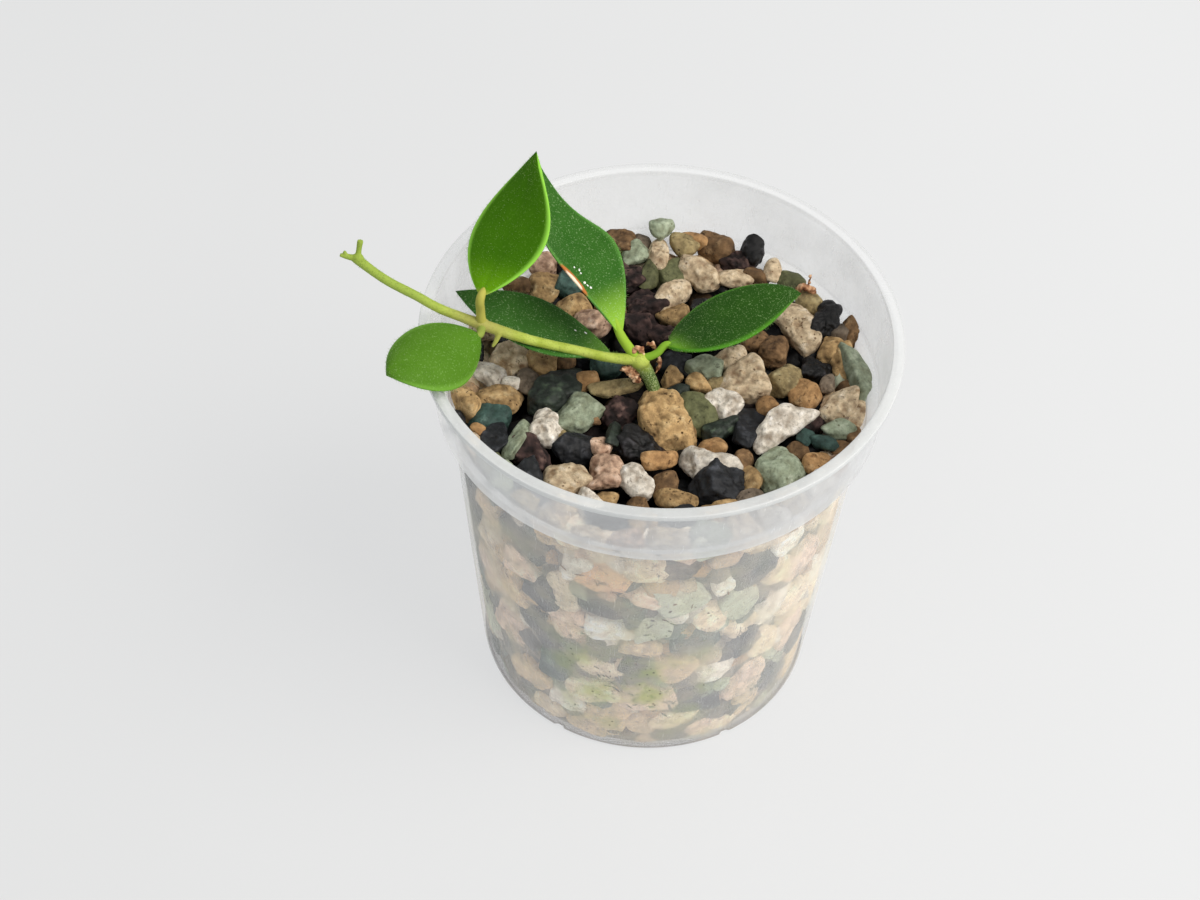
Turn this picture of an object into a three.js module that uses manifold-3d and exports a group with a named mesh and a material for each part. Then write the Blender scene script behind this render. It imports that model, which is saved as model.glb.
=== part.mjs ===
// A young hoya cutting in a clear plastic nursery pot, potted in mixed mineral gravel.
// Millimetres, +Z up. The origin is the centre of the pot's flat underside.

import * as THREE from "three";
import { mergeVertices } from "three/addons/utils/BufferGeometryUtils.js";
import Module from "manifold-3d";

const wasm = await Module();
wasm.setup();

// Pot
const potHeight = 88.2;
const rimRadius = 45; // outer edge of the flat rim
const rimInnerRadius = 42.8;
const rimThickness = 1.2;
const collarTopRadius = 43.7;
const collarFootRadius = 42.3; // edge of the step below the collar
const collarFootHeight = 72.8;
const bodyTopRadius = 39.6;
const bodyTopHeight = 70.3;
const baseRadius = 33.8;
const wall = 1;
const floorThickness = 1.2;
const potSegments = 60;
const grooveCount = 6; // shallow grooves up the foot of the wall
const grooveWidth = 2.3;
const grooveHeight = 10;
const grooveDepth = 0.45;
const drainCount = 6;
const drainRadius = 2.6;
const drainRing = 21;

// Inner wall of the pot from its floor up, as [radius, height]
const innerWall = [
  [baseRadius - wall - 0.6, floorThickness],
  [baseRadius - wall + 0.1, floorThickness + 0.7],
  [bodyTopRadius - wall, bodyTopHeight + 0.6],
  [bodyTopRadius - wall + 0.8, bodyTopHeight + 2.3],
  [collarFootRadius - wall, collarFootHeight + wall],
  [collarTopRadius - wall, potHeight - rimThickness - 0.4],
];

// Gravel
const clearance = 0.3; // gap between touching pieces
const facetRoom = 0.1; // extra gap for the flats of the pot's faceted wall
const shoulderRoom = 0.2; // extra gap upwards, for the slope under the collar
const gravelLevel = 74.3; // where the tops of most stones lie
const bedLevel = 71; // top of the packed bed, which the top stones stand out of
const bedInset = 2.8; // how far the bed lies inside the wall, behind the stones against it
const bedSegments = 24;
const stoneFoot = 0.8; // sides of the foot and the crown of a stone of unit length
const stoneCrown = 0.6;
const stoneHeight = 0.88;
const cornerIn = 0.8; // least and spread of the draw that moves a stone's corners
const cornerSpread = 0.3;
const stoneLean = 14; // most that a top stone leans, in degrees
const stoneFlatness = 0.8; // height of a top stone as a share of its width, depth of a side stone
const stoneSunk = 0.42; // how deep a side stone's middle lies, as a share of its depth
const sideSeed = 5;
const sideRows = 7; // rows of stones at the wall, between the chosen ones
const sidePitch = 10.4; // from stone to stone in a row
const sideStart = 5.8; // height of the lowest row
const sideRise = 9.9; // from row to row
const sideSize = 10.6;
const sideGap = 1.2; // left between such a stone and a chosen one

// Stem, with its buried foot, its three nodes and the forked bud at the tip
const stubRadius = 1.3;
const vineRadius = 0.95;
const bladeThickness = 1.3;
const bladeEdge = 0.6; // roundness of a blade's margin: 1 is an ellipse, less is fuller
const bladeFullest = 0.87; // below 1 moves the widest place of a blade towards its base
const petioleRadius = 0.75;
const petioleStart = 0.02; // where the petiole meets the blade's midrib and where it runs out in it
const petioleEnd = 0.16;
const forkRadius = 0.55;
const nubRadius = 0.6;
const rootRadius = 0.5;
const lowerNodeRadius = 1.8;
const upperNodeRadius = 1.35;
const tipNodeRadius = 1.15;
const buriedDepth = 20;
const lowerNode = [-4.1, -2.2, 82];
const upperNode = [-33.2, -1.6, 89.3];
const tipNode = [-55.5, -0.5, 104];
const stubFoot = [-0.5, -2.7, 72.5];

// Five leaves. A blade follows one cubic curve from base to tip; roll turns its face round that
// curve, at the base and at the tip, and cup is the rise of its margins as a share of its half width.
const leaves = {
  leaf_1: {
    node: lowerNode,
    curve: [[-9, -0.9, 81.3], [-17, 3.2, 79], [-28.5, 4, 87], [-39, 11, 85]],
    roll: [27, -9],
    halfWidth: 7.3,
    cup: 0.1,
    colour: 0x1f4a24,
  },
  leaf_2: {
    node: lowerNode,
    curve: [[-7.4, 0, 85.8], [-15.4, 13.4, 100], [-21, 14.5, 90], [-24, 26.7, 104]],
    roll: [18, 33],
    halfWidth: 8.2,
    cup: 0.3,
    colour: 0x3f7d34,
  },
  leaf_3: {
    node: lowerNode,
    curve: [[1.3, -0.4, 84.5], [3, -1.8, 83.5], [18.6, 11.9, 88], [26.6, 14.6, 84]],
    roll: [-36, 18],
    halfWidth: 7,
    cup: -0.05,
    colour: 0x265a1f,
  },
  leaf_4: {
    node: upperNode,
    curve: [[-33.3, -1, 96], [-30, 8, 99.3], [-25.3, 17.2, 102.2], [-24.2, 20, 113]],
    roll: [-6, -25],
    halfWidth: 8,
    cup: 0,
    colour: 0x4f9410,
  },
  leaf_5: {
    node: upperNode,
    curve: [[-33.4, -4.6, 89.8], [-35.5, -10, 92.5], [-49.5, -21, 97], [-47.5, -19.5, 94]],
    roll: [-34, 3],
    halfWidth: 7,
    cup: -0.38,
    colour: 0x5f9a2c,
  },
};

// Stones of 5 mm and more that show on top: x, y, length, width, turn of the long side in degrees,
// and how far the stone's top lies over the common level.
const topStones = [
  [0.8, -8.5, 12.6, 10, 105, 1.0],
  [-16.5, -23.5, 10.8, 8.3, 20, 0.6],
  [-28.5, 6, 8.8, 7.4, 140, 0.6],
  [-22.5, 5, 8.8, 5.2, 110, 0.2],
  [-17.5, 6, 5.6, 4.2, 70, -0.4],
  [-32, 1, 6.8, 4.8, 160, 0.2],
  [-24.6, 0.2, 6.4, 5, 115, -0.2],
  [-36.5, -5, 9.3, 5.2, 112, 0.2],
  [-29.5, -4.7, 9.2, 6.2, 170, 0.4],
  [-31, -9.6, 7.8, 5.6, 10, -0.2],
  [-19.5, -2.5, 13.2, 7.4, 46, 0.8],
  [-14, 0.6, 5, 4, 0, 0],
  [-8, -1.5, 9.8, 3.8, 8, 0.2],
  [-15, -7.3, 10.2, 7, 62, 0.6],
  [-21, -11.8, 8.6, 6.8, 75, 1.0],
  [-8, -6.3, 8.2, 6.2, 20, -0.4],
  [-26, -15.3, 9.2, 4, 68, 0.6],
  [-30.2, -14.8, 6.8, 5.8, 120, -0.2],
  [-23.2, -18.6, 8.2, 5.8, 130, -0.1],
  [-15.6, -16, 8.6, 5.8, 25, 0],
  [-9.2, -22, 8.2, 6.4, 85, 0.5],
  [-10.8, -15.6, 5.2, 4.2, 150, -0.2],
  [-8, -13.4, 7, 2.8, 80, 0.2],
  [-3, -15.8, 9, 6.2, 175, -0.2],
  [0.6, -19.3, 6.6, 4.2, 18, 0.5],
  [-4, -24, 9, 5.8, 142, 0.4],
  [2, -23.2, 5.4, 5, 90, -0.6],
  [-9, -28, 5, 3.6, 0, -0.8],
  [4.2, -27.6, 6.8, 4.6, 5, -0.3],
  [12.8, -29, 5, 3.4, 5, -0.6],
  [6.6, -5.8, 10.6, 7.6, 108, 0.6],
  [12.4, -4.8, 7.6, 5.8, 150, 0.6],
  [17, 1.2, 9.6, 8.8, 0, 1.0],
  [24.6, 3, 9, 6.4, 50, 0.8],
  [27.8, -1, 8, 6.4, 60, 0.6],
  [33.6, -3.8, 8, 7, 100, 0.6],
  [23, -10.2, 13.4, 5.6, 40, 1.4],
  [21, -4.6, 5.6, 4.8, 160, 0],
  [16.4, -10, 11, 5, 78, -0.1],
  [11.4, -10.8, 6.2, 4.4, 30, -0.2],
  [10.6, -14.8, 6, 4.6, 165, 0],
  [8.6, -19.6, 10.8, 7.6, 130, 0.6],
  [12.4, -24, 10.6, 8, 162, 0.8],
  [15.6, -18, 5.2, 4.4, 90, -0.2],
  [17.4, -22.6, 5.8, 4.4, 100, -0.4],
  [22.2, -20.2, 10, 8.6, 60, 0.8],
  [26.2, -15.2, 5.4, 4.8, 120, -0.4],
  [29.8, -18, 7, 4.6, 28, 0.2],
  [34, -9.8, 6, 4.2, 15, 0.4],
  [31, -13.2, 5.4, 3.2, 150, 0],
  [37.6, -5.4, 8.8, 4.4, 72, 0],
  [35.4, 7, 8.2, 5.6, 112, 0.2],
  [38.2, 3.2, 11.6, 5.2, 104, 0.8],
  [30, 5.6, 6.8, 5.8, 70, -0.2],
  [14.2, 7.8, 7.2, 6.4, 30, 0.4],
  [8.6, 5.2, 6.8, 5.2, 0, 0.4],
  [2.6, 1.8, 5.4, 4.2, 40, 0],
  [28.6, -8, 5, 4.6, 0, -0.8],
  [22, 10.8, 8.6, 7, 80, 0.4],
  [27.4, 16.6, 12.2, 7.6, 122, 1.2],
  [29.4, 23, 7.6, 4.8, 125, 0.2],
  [32.6, 18.4, 9.2, 5.2, 75, 1.6],
  [38.3, 14.6, 7.6, 5.8, 115, 1.0],
  [35.2, 15.4, 5.8, 4.4, 60, 0],
  [33.2, 11.2, 6.8, 5.2, 60, 0.2],
  [19, 13.6, 6.4, 5.2, 30, -0.6],
  [-0.4, 38.6, 5.4, 4.6, 60, 4.0],
  [-7.4, 37.8, 6.8, 5.8, 0, 1.0],
  [-0.4, 34.4, 8.8, 4.7, 96, 1.4],
  [4, 37.2, 7.8, 4.6, 125, 1.2],
  [6.6, 38.8, 7.8, 4.2, 165, 1.0],
  [11.2, 36.8, 7.8, 6.4, 160, 1.4],
  [18.4, 36, 7.6, 5, 75, 2.4],
  [16, 33.2, 7.2, 6, 30, 0.8],
  [-5, 34.6, 5.6, 4.6, 20, 0.6],
  [-11, 37.6, 5.2, 4.2, 0, 0],
  [8, 30.2, 10.2, 7.8, 132, 1.2],
  [2.6, 31, 6.8, 6, 30, 0],
  [-4.8, 28.4, 7.2, 5.2, 80, 0.2],
  [-3.8, 21.4, 7.6, 6.6, 40, 0],
  [-2, 29.2, 8, 3.6, 80, 0],
  [2, 23.4, 10.6, 5, 47, 0.8],
  [3.2, 19, 6.2, 5.2, 30, -0.2],
  [19.2, 30.4, 5.8, 4.8, 0, 0],
  [15, 28.8, 8.2, 4.8, 170, 0.6],
  [22.2, 31, 6.4, 3.8, 80, 0.6],
  [26, 28.4, 7.2, 5.4, 150, 0.8],
  [2, 13.6, 7.8, 6.8, 0, -0.6],
  [-3, 15.6, 7.8, 6.8, 0, -0.6],
  [9, 14, 6.8, 5.8, 0, -0.8],
  [3, 7, 6.3, 5.8, 0, -1.0],
  [-10, 4.4, 6.2, 4.8, 20, -0.2],
  [-14.4, 8, 6.8, 5.8, 0, -0.6],
  [10, 21, 7.8, 5.8, 0, -0.8],
  [-23, 31.4, 6.8, 5.8, 0, 0.4],
  [-28.4, 25.4, 6.3, 4.8, 0, 0],
  [-22.6, 25.4, 7.4, 6.4, 80, 0.2],
  [-18.4, 26.6, 6.8, 5.4, 80, 0],
  [-16.4, 20, 6.4, 5.2, 20, 0],
  [-13.4, 16.8, 6.8, 5.4, 150, 0],
  [-17, 31, 6.8, 5.8, 0, 0],
  [-12, 26, 6.8, 5.8, 20, -0.2],
  [-9, 31.5, 6.8, 5.8, 0, 0.2],
  [-9.5, 20.5, 6.4, 5.4, 0, -0.4],
  [-29, 18, 7.3, 5.8, 0, 0],
  [-34, 13.5, 7.8, 5.8, 100, 0.2],
  [-36, 7, 6.8, 5.2, 100, 0],
  [-23, 14.5, 6.8, 5.8, 0, -0.2],
  [-29.5, 12.6, 6.4, 5.2, 0, -0.2],
  [-38, -11, 6.5, 5, 110, -0.2],
  [-34, -17.8, 7, 5, 120, 0],
  [-30.5, -20.5, 7, 5, 125, -0.2],
  [-28, -24.6, 7.5, 5.2, 60, 0],
  [-23.6, -25.4, 7.5, 5.6, 120, -0.2],
  [-24, -30.2, 7, 5.6, 60, 0],
  [-17.4, -31.4, 8, 6.4, 30, 0.2],
  [-12.2, -30.4, 6.5, 5, 80, -0.2],
  [-12.8, -37, 7.6, 6, 100, 0],
  [-7.6, -33, 7, 5.4, 20, -0.3],
  [-5.8, -38, 6.4, 5.2, 10, 0],
  [-2, -33.6, 6.5, 5.4, 40, -0.2],
  [2.6, -37.4, 8, 6, 0, 0.2],
  [4, -32.4, 6, 5, 30, -0.4],
  [9.6, -36, 8, 6, 160, 0.2],
  [9.8, -31.2, 6, 4.8, 20, -0.4],
  [16, -34, 8, 6.4, 150, 0.2],
  [17.6, -28.4, 7, 5.4, 40, -0.2],
  [22, -31.6, 7, 5.4, 135, 0.2],
  [25.4, -26.8, 8, 6.4, 140, 0.2],
  [30.2, -24.2, 7.6, 6, 130, 0.2],
  [33.6, -18.8, 7, 5.4, 115, 0],
];

// Stones that show through the wall: compass angle round the pot in degrees (-90 is the front),
// height, width, height of the stone.
const wallStones = [
  [-115, 69, 7.5, 7],
  [-105, 68.5, 8, 7],
  [-94, 70, 6, 5.5],
  [-84, 70, 8, 6.5],
  [-74, 70, 7, 6.5],
  [-64, 69.5, 8, 7.5],
  [-104, 59.5, 13, 12],
  [-103, 49.8, 10, 6.5],
  [-95, 48.6, 5, 7.5],
  [-101, 41.3, 10.5, 7.5],
  [-81, 63, 8.5, 7],
  [-91, 63.5, 9, 9],
  [-82, 54, 9.5, 9.5],
  [-89, 44, 7.5, 8],
  [-76, 38, 8, 7.5],
  [-73, 46.5, 8, 8.5],
  [-59, 58.5, 9.5, 12],
  [-68, 56.5, 5.5, 7],
  [-70, 64, 5.5, 5.5],
  [-63, 48.5, 8, 7.5],
  [-50, 41, 9.5, 9],
  [-48, 51.5, 10, 9],
  [-92, 53.5, 7, 6.5],
  [-130, 59, 10, 8.5],
  [-133, 50.5, 8, 7],
  [-139, 40, 8, 8],
  [-126, 45, 7, 8],
  [-117, 48.5, 6, 10],
  [-117, 38, 9, 9.5],
  [-127, 33, 8, 10],
  [-104, 34.3, 8, 5.5],
  [-92, 36, 8, 6.5],
  [-91.5, 29.5, 8.5, 5.5],
  [-105, 27, 10, 8],
  [-66, 25, 10, 9],
  [-73, 16.8, 10, 7.5],
  [-107, 18, 11, 8],
  [-89, 19.5, 10, 9],
  [-104, 9.5, 10, 8],
  [-118, 11, 8, 9.5],
  [-77, 9.6, 10, 5.5],
  [-91, 9, 8.5, 8],
  [-80, 4.6, 8, 4.8],
  [-99, 4.4, 5.5, 4.6],
  [-70, 4.8, 6, 5.5],
  [-64, 10, 6.5, 8],
  [-52, 7, 9, 9],
  [-42, 11, 9, 9],
  [-51, 29, 11, 11],
  [-58, 32, 6, 10],
  [-142, 24, 11, 11],
  [-133, 12.5, 10, 9.5],
  [-122, 23, 7, 9],
  [-61, 39, 8, 8.5],
  [-80, 28, 8.5, 8],
  [-113, 60, 6, 9],
  [-52, 18, 9, 9],
  [-147, 60, 9, 8],
  [-48, 62, 10, 9],
  [-121, 66, 7, 7],
  [-56, 68, 8, 8],
  [-150, 48, 10, 9],
  [-37, 50, 9, 9],
  [-111, 3.8, 9, 4.6],
  [-126, 4.6, 9, 5.6],
  [-60, 4, 8, 4.6],
];

const degrees = THREE.MathUtils.degToRad;

// Small seeded generator, so that each build gives the same stones.
function seeded(seed) {
  let state = seed;
  return () => {
    state = (state * 1664525 + 1013904223) >>> 0;
    return state / 4294967296;
  };
}

function solidOf(geometry) {
  const bare = geometry.clone();
  bare.deleteAttribute("normal");
  bare.deleteAttribute("uv");
  const merged = mergeVertices(bare, 1e-4);
  return new wasm.Manifold(
    new wasm.Mesh({
      numProp: 3,
      vertProperties: merged.attributes.position.array,
      triVerts: new Uint32Array(merged.index.array),
    }),
  );
}

// The largest single body of a solid, without loose scraps or sealed voids.
function mainBody(solid) {
  return solid.decompose().reduce((best, body) => (body.volume() > best.volume() ? body : best));
}

function geometryOf(solid) {
  const { vertProperties, triVerts } = solid.getMesh();
  const geometry = new THREE.BufferGeometry();
  geometry.setAttribute("position", new THREE.BufferAttribute(vertProperties, 3));
  geometry.setIndex(new THREE.BufferAttribute(triVerts, 1));
  geometry.computeVertexNormals();
  return geometry;
}

function union(solids) {
  return solids.reduce((all, solid) => all.add(solid));
}

// A turned body about the Z axis, from a profile of [radius, height] points.
function turned(profile, segments) {
  const points = profile.map(([radius, height]) => new THREE.Vector2(radius, height));
  return new THREE.LatheGeometry(points, segments).rotateX(Math.PI / 2);
}

function tube(points, radius, sides, steps) {
  const path = new THREE.CatmullRomCurve3(points.map((point) => new THREE.Vector3(...point)));
  const section = new THREE.Shape();
  for (let side = 0; side < sides; side += 1) {
    const angle = (side / sides) * 2 * Math.PI;
    const corner = [radius * Math.cos(angle), radius * Math.sin(angle)];
    if (side === 0) section.moveTo(...corner);
    else section.lineTo(...corner);
  }
  return solidOf(new THREE.ExtrudeGeometry(section, { steps, extrudePath: path }));
}

function ball(centre, radius) {
  return solidOf(new THREE.IcosahedronGeometry(radius, 1).translate(...centre));
}

// Pot: one turned shell with a flat rim, a stepped collar and a tapered body.
function makePot() {
  const rimUnderside = potHeight - rimThickness;
  const edge = 0.3;
  const shell = turned(
    [
      [0, 0],
      [baseRadius - 0.8, 0],
      [baseRadius, 0.6],
      [bodyTopRadius, bodyTopHeight],
      [bodyTopRadius + 0.7, bodyTopHeight + 1.3],
      [collarFootRadius, collarFootHeight],
      [collarTopRadius, rimUnderside],
      [rimRadius - edge, rimUnderside],
      [rimRadius, rimUnderside + edge],
      [rimRadius, potHeight - edge],
      [rimRadius - edge, potHeight],
      [rimInnerRadius + edge, potHeight],
      [rimInnerRadius, potHeight - edge],
      ...[...innerWall].reverse(),
      [0, floorThickness],
    ],
    potSegments,
  );
  let pot = solidOf(shell);
  const taper = Math.atan((bodyTopRadius - baseRadius) / bodyTopHeight);
  for (let i = 0; i < grooveCount; i += 1) {
    const groove = new THREE.BoxGeometry(2 * grooveDepth, grooveWidth, 2 * grooveHeight);
    groove.rotateY(taper).translate(baseRadius, 0, 0);
    pot = pot.subtract(solidOf(groove.rotateZ((i / grooveCount) * 2 * Math.PI)));
  }
  for (let i = 0; i < drainCount; i += 1) {
    const drain = new THREE.CylinderGeometry(drainRadius, drainRadius, 4 * floorThickness, 12);
    drain.rotateX(Math.PI / 2).translate(drainRing, 0, 0);
    pot = pot.subtract(solidOf(drain.rotateZ(((i + 0.5) / drainCount) * 2 * Math.PI)));
  }
  return geometryOf(pot);
}

// Radius of the pot's inner wall at a height.
function insideRadius(height) {
  const above = Math.max(1, innerWall.findIndex(([, level]) => level > height));
  const [lowRadius, low] = innerWall[above - 1];
  const [highRadius, high] = innerWall[above];
  return THREE.MathUtils.mapLinear(height, low, high, lowRadius, highRadius);
}

// The space inside the pot, short of its wall and floor by the clearance.
function innerSpace() {
  const bottom = floorThickness + clearance;
  const [[footRadius], ...above] = innerWall;
  const side = above.map(([radius, height]) => [radius - clearance, height + shoulderRoom]);
  const [, top] = side.at(-1);
  const foot = [footRadius - clearance, bottom];
  return solidOf(turned([[0, bottom], foot, ...side, [0, top]], potSegments));
}

// One gravel stone: a chunk with a narrower crown and its corners moved by a seeded draw, turned,
// put in its place and kept inside the wall.
function stone(place, size, laid, random) {
  const chunk = new THREE.BoxGeometry(1, 1, 1);
  chunk.deleteAttribute("normal");
  chunk.deleteAttribute("uv");
  const merged = mergeVertices(chunk, 1e-4);
  const position = merged.attributes.position;
  const corner = new THREE.Vector3();
  for (let i = 0; i < position.count; i += 1) {
    corner.fromBufferAttribute(position, i);
    const side = corner.z > 0 ? stoneCrown : stoneFoot;
    corner.multiply(new THREE.Vector3(side, side, stoneHeight));
    corner.multiplyScalar(cornerIn + cornerSpread * random());
    corner.multiply(size).applyEuler(laid).add(place);
    corner.z = Math.max(corner.z, floorThickness + clearance);
    const radius = Math.hypot(corner.x, corner.y);
    const most = insideRadius(corner.z) - clearance - facetRoom;
    if (radius > most) {
      corner.x *= most / radius;
      corner.y *= most / radius;
    }
    position.setXYZ(i, corner.x, corner.y, corner.z);
  }
  return solidOf(merged);
}

function topStone([x, y, length, width, turn, lift], random) {
  const height = stoneFlatness * width;
  const place = new THREE.Vector3(x, y, gravelLevel + lift - height / 2);
  const lean = () => degrees(stoneLean * (2 * random() - 1));
  const laid = new THREE.Euler(lean(), lean(), degrees(turn), "ZYX");
  return stone(place, new THREE.Vector3(length, width, height), laid, random);
}

// A stone against the wall, with its crown outwards.
function sideStone([angle, height, width, tall], random) {
  const depth = stoneFlatness * Math.min(width, tall);
  const radius = insideRadius(height) - stoneSunk * depth;
  const place = new THREE.Vector3(radius * Math.cos(angle), radius * Math.sin(angle), height);
  const laid = new THREE.Euler(-Math.PI / 2, 0, angle - Math.PI / 2, "ZYX");
  return stone(place, new THREE.Vector3(width, tall, depth), laid, random);
}

// Whether a side stone keeps clear of a chosen one, measured on the wall.
function apart([angle, level, width, tall], [otherAngle, otherLevel, otherWidth, otherTall]) {
  const turn = THREE.MathUtils.euclideanModulo(angle - degrees(otherAngle) + Math.PI, 2 * Math.PI);
  const reach = otherWidth / 2 + width / 4 + sideGap;
  const across = (insideRadius(level) * (turn - Math.PI)) / reach;
  const upward = (level - otherLevel) / (otherTall / 2 + tall / 4 + sideGap);
  return Math.hypot(across, upward) > 1;
}

// Rows of stones against the wall, left out where a chosen one lies.
function sideStones() {
  const spread = seeded(sideSeed);
  const stones = [];
  for (let row = 0; row < sideRows; row += 1) {
    const height = sideStart + row * sideRise;
    const around = Math.round((2 * Math.PI * insideRadius(height)) / sidePitch);
    for (let i = 0; i < around; i += 1) {
      const angle = (2 * Math.PI * (i + 0.5 * (row % 2) + 0.3 * (spread() - 0.5))) / around;
      const level = height + 2.4 * (spread() - 0.5);
      const width = sideSize * (0.85 + 0.35 * spread());
      const tall = sideSize * (0.8 + 0.3 * spread());
      const next = [angle, level, width, tall];
      if (wallStones.every((other) => apart(next, other))) stones.push(next);
    }
  }
  return stones;
}

function makeGravel(stemHole) {
  const random = seeded(20);
  const bottom = floorThickness + clearance;
  const bed = turned(
    [
      [0, bottom],
      [insideRadius(bottom) - bedInset, bottom],
      [insideRadius(bedLevel) - bedInset, bedLevel],
      [0, bedLevel],
    ],
    bedSegments,
  );
  const stones = [solidOf(bed)];
  for (const row of topStones) stones.push(topStone(row, random));
  for (const [angle, ...rest] of wallStones) stones.push(sideStone([degrees(angle), ...rest], random));
  for (const row of sideStones()) stones.push(sideStone(row, random));
  return geometryOf(mainBody(union(stones).intersect(innerSpace()).subtract(stemHole)));
}

// The stem in one piece, from its buried foot to the forked bud; extra thickens it all round.
function stem(extra) {
  const buried = [stubFoot[0], stubFoot[1], stubFoot[2] - buriedDepth - extra];
  return union([
    tube([buried, stubFoot, [-2.1, -2.3, 78], lowerNode], stubRadius + extra, 8, 10),
    tube(
      [lowerNode, [-9.3, -2.4, 82.5], [-14.3, -2, 83.5], [-24.3, -1.9, 86], upperNode],
      vineRadius + extra,
      8,
      14,
    ),
    tube([upperNode, [-41.1, -0.8, 92.4], [-50.8, -0.7, 99.4], tipNode], vineRadius + extra, 8, 10),
    tube([tipNode, [-55.2, 0.3, 105.6], [-54.8, 0.9, 107.6]], forkRadius + extra, 6, 3),
    tube([tipNode, [-57.1, -0.3, 104.4], [-58.9, -0.3, 104.8]], nubRadius + extra, 6, 3),
    tube([[-29.9, -2.2, 88.2], [-30.4, -3.1, 87], [-31.2, -3.8, 85.5]], rootRadius + extra, 6, 3),
    ball([lowerNode[0] + 0.4, lowerNode[1], lowerNode[2] - 0.3], lowerNodeRadius + extra),
    ball(upperNode, upperNodeRadius + extra),
    ball(tipNode, tipNodeRadius + extra),
  ]);
}

// A leaf: a fleshy blade laid along its curve, with the petiole that carries it.
function makeLeaf({ node, curve, roll, halfWidth, cup }, stemWithGap) {
  const points = curve.map((point) => new THREE.Vector3(...point));
  const midrib = new THREE.CubicBezierCurve3(...points);
  const chord = points[3].clone().sub(points[0]).normalize();
  const up = new THREE.Vector3(0, 0, 1).addScaledVector(chord, -chord.z).normalize();
  const aside = chord.clone().cross(up);
  const blade = new THREE.SphereGeometry(1, 12, 16);
  const position = blade.attributes.position;
  for (let i = 0; i < position.count; i += 1) {
    const along = Math.acos(THREE.MathUtils.clamp(position.getY(i), -1, 1)) / Math.PI;
    const swell = Math.sin(Math.PI * along);
    const across = swell > 1e-6 ? position.getX(i) / swell : 0;
    const through = swell > 1e-6 ? position.getZ(i) / swell : 0;
    const centre = midrib.getPoint(along);
    const tangent = midrib.getTangent(along);
    const turn = degrees(THREE.MathUtils.lerp(roll[0], roll[1], along));
    const face = up.clone().multiplyScalar(Math.cos(turn)).addScaledVector(aside, Math.sin(turn));
    const side = face.clone().cross(tangent).normalize();
    face.copy(tangent).cross(side);
    const width = halfWidth * Math.sin(Math.PI * along ** bladeFullest);
    const thickness = (bladeThickness / 2) * Math.min(1, 4 * swell);
    const skin = Math.sign(through) * Math.abs(through) ** bladeEdge;
    const lift = cup * width * across * across + thickness * skin;
    centre.addScaledVector(side, width * across).addScaledVector(face, lift);
    position.setXYZ(i, centre.x, centre.y, centre.z);
  }
  const start = midrib.getPoint(petioleStart).toArray();
  const inside = midrib.getPoint(petioleEnd).toArray();
  const middle = new THREE.Vector3(...node).lerp(points[0], 0.5).toArray();
  const petiole = tube([node, middle, start, inside], petioleRadius, 8, 8);
  return geometryOf(mainBody(solidOf(blade).add(petiole).subtract(stemWithGap)));
}

function addPiece(group, name, geometry, colour, roughness, opacity = 1) {
  const material = new THREE.MeshStandardMaterial({ color: colour, roughness, metalness: 0 });
  material.transparent = opacity < 1;
  material.opacity = opacity;
  const mesh = new THREE.Mesh(geometry, material);
  mesh.name = name;
  group.add(mesh);
}

const plant = new THREE.Group();
const stemWithGap = stem(clearance);
addPiece(plant, "stem", geometryOf(mainBody(stem(0))), 0x93ab43, 0.6);
for (const [name, leaf] of Object.entries(leaves)) {
  addPiece(plant, name, makeLeaf(leaf, stemWithGap), leaf.colour, 0.5);
}

const group = new THREE.Group();
addPiece(group, "pot", makePot(), 0xe4e6e4, 0.3, 0.45);
addPiece(group, "gravel", makeGravel(stemWithGap), 0xa98c6b, 0.95);
group.add(plant);

export default group;
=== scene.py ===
import math
import random

import bmesh
import bpy
import numpy
from mathutils import Matrix, Vector, noise


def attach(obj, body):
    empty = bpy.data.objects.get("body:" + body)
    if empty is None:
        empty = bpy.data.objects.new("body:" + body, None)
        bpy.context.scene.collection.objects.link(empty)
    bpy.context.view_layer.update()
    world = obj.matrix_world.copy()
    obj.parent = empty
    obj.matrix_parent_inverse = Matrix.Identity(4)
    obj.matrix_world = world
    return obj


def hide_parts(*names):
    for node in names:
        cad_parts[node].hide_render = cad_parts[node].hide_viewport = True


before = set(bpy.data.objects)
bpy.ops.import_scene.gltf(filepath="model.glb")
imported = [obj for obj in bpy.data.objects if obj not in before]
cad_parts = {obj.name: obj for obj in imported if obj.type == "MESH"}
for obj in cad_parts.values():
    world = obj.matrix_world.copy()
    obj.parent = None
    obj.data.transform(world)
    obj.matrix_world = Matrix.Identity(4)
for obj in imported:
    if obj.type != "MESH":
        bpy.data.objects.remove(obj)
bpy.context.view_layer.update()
mm = 0.001  # pieces are drawn in millimetres and scaled to metres when they are finished
draw = random.Random(7)
print("frame loaded:", ", ".join(sorted(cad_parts)))


def hexColour(code):
    parts = [int(code[i:i + 2], 16) / 255 for i in (1, 3, 5)]
    return [c / 12.92 if c <= 0.04045 else ((c + 0.055) / 1.055) ** 2.4 for c in parts] + [1]


def newMaterial(name):
    material = bpy.data.materials.new(name)
    material.use_nodes = True
    material.node_tree.nodes.clear()
    return material


def addNode(material, kind, settings=None, links=None):
    node = material.node_tree.nodes.new("ShaderNode" + kind)
    for name, value in (settings or {}).items():
        if name == "stops":
            setStops(node.color_ramp, value)
        elif name == "range":
            for end, number in zip(("From Min", "From Max", "To Min", "To Max"), value):
                node.inputs[end].default_value = number
        elif isinstance(name, int) or name in node.inputs:
            node.inputs[name].default_value = value
        else:
            setattr(node, name, value)
    for name, source in (links or {}).items():
        material.node_tree.links.new(source, node.inputs[name])
    return node


def setStops(ramp, stops):
    while len(ramp.elements) < len(stops):
        ramp.elements.new(1)
    for element, (place, code) in zip(ramp.elements, stops):
        element.position = place
        element.color = hexColour(code)


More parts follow.
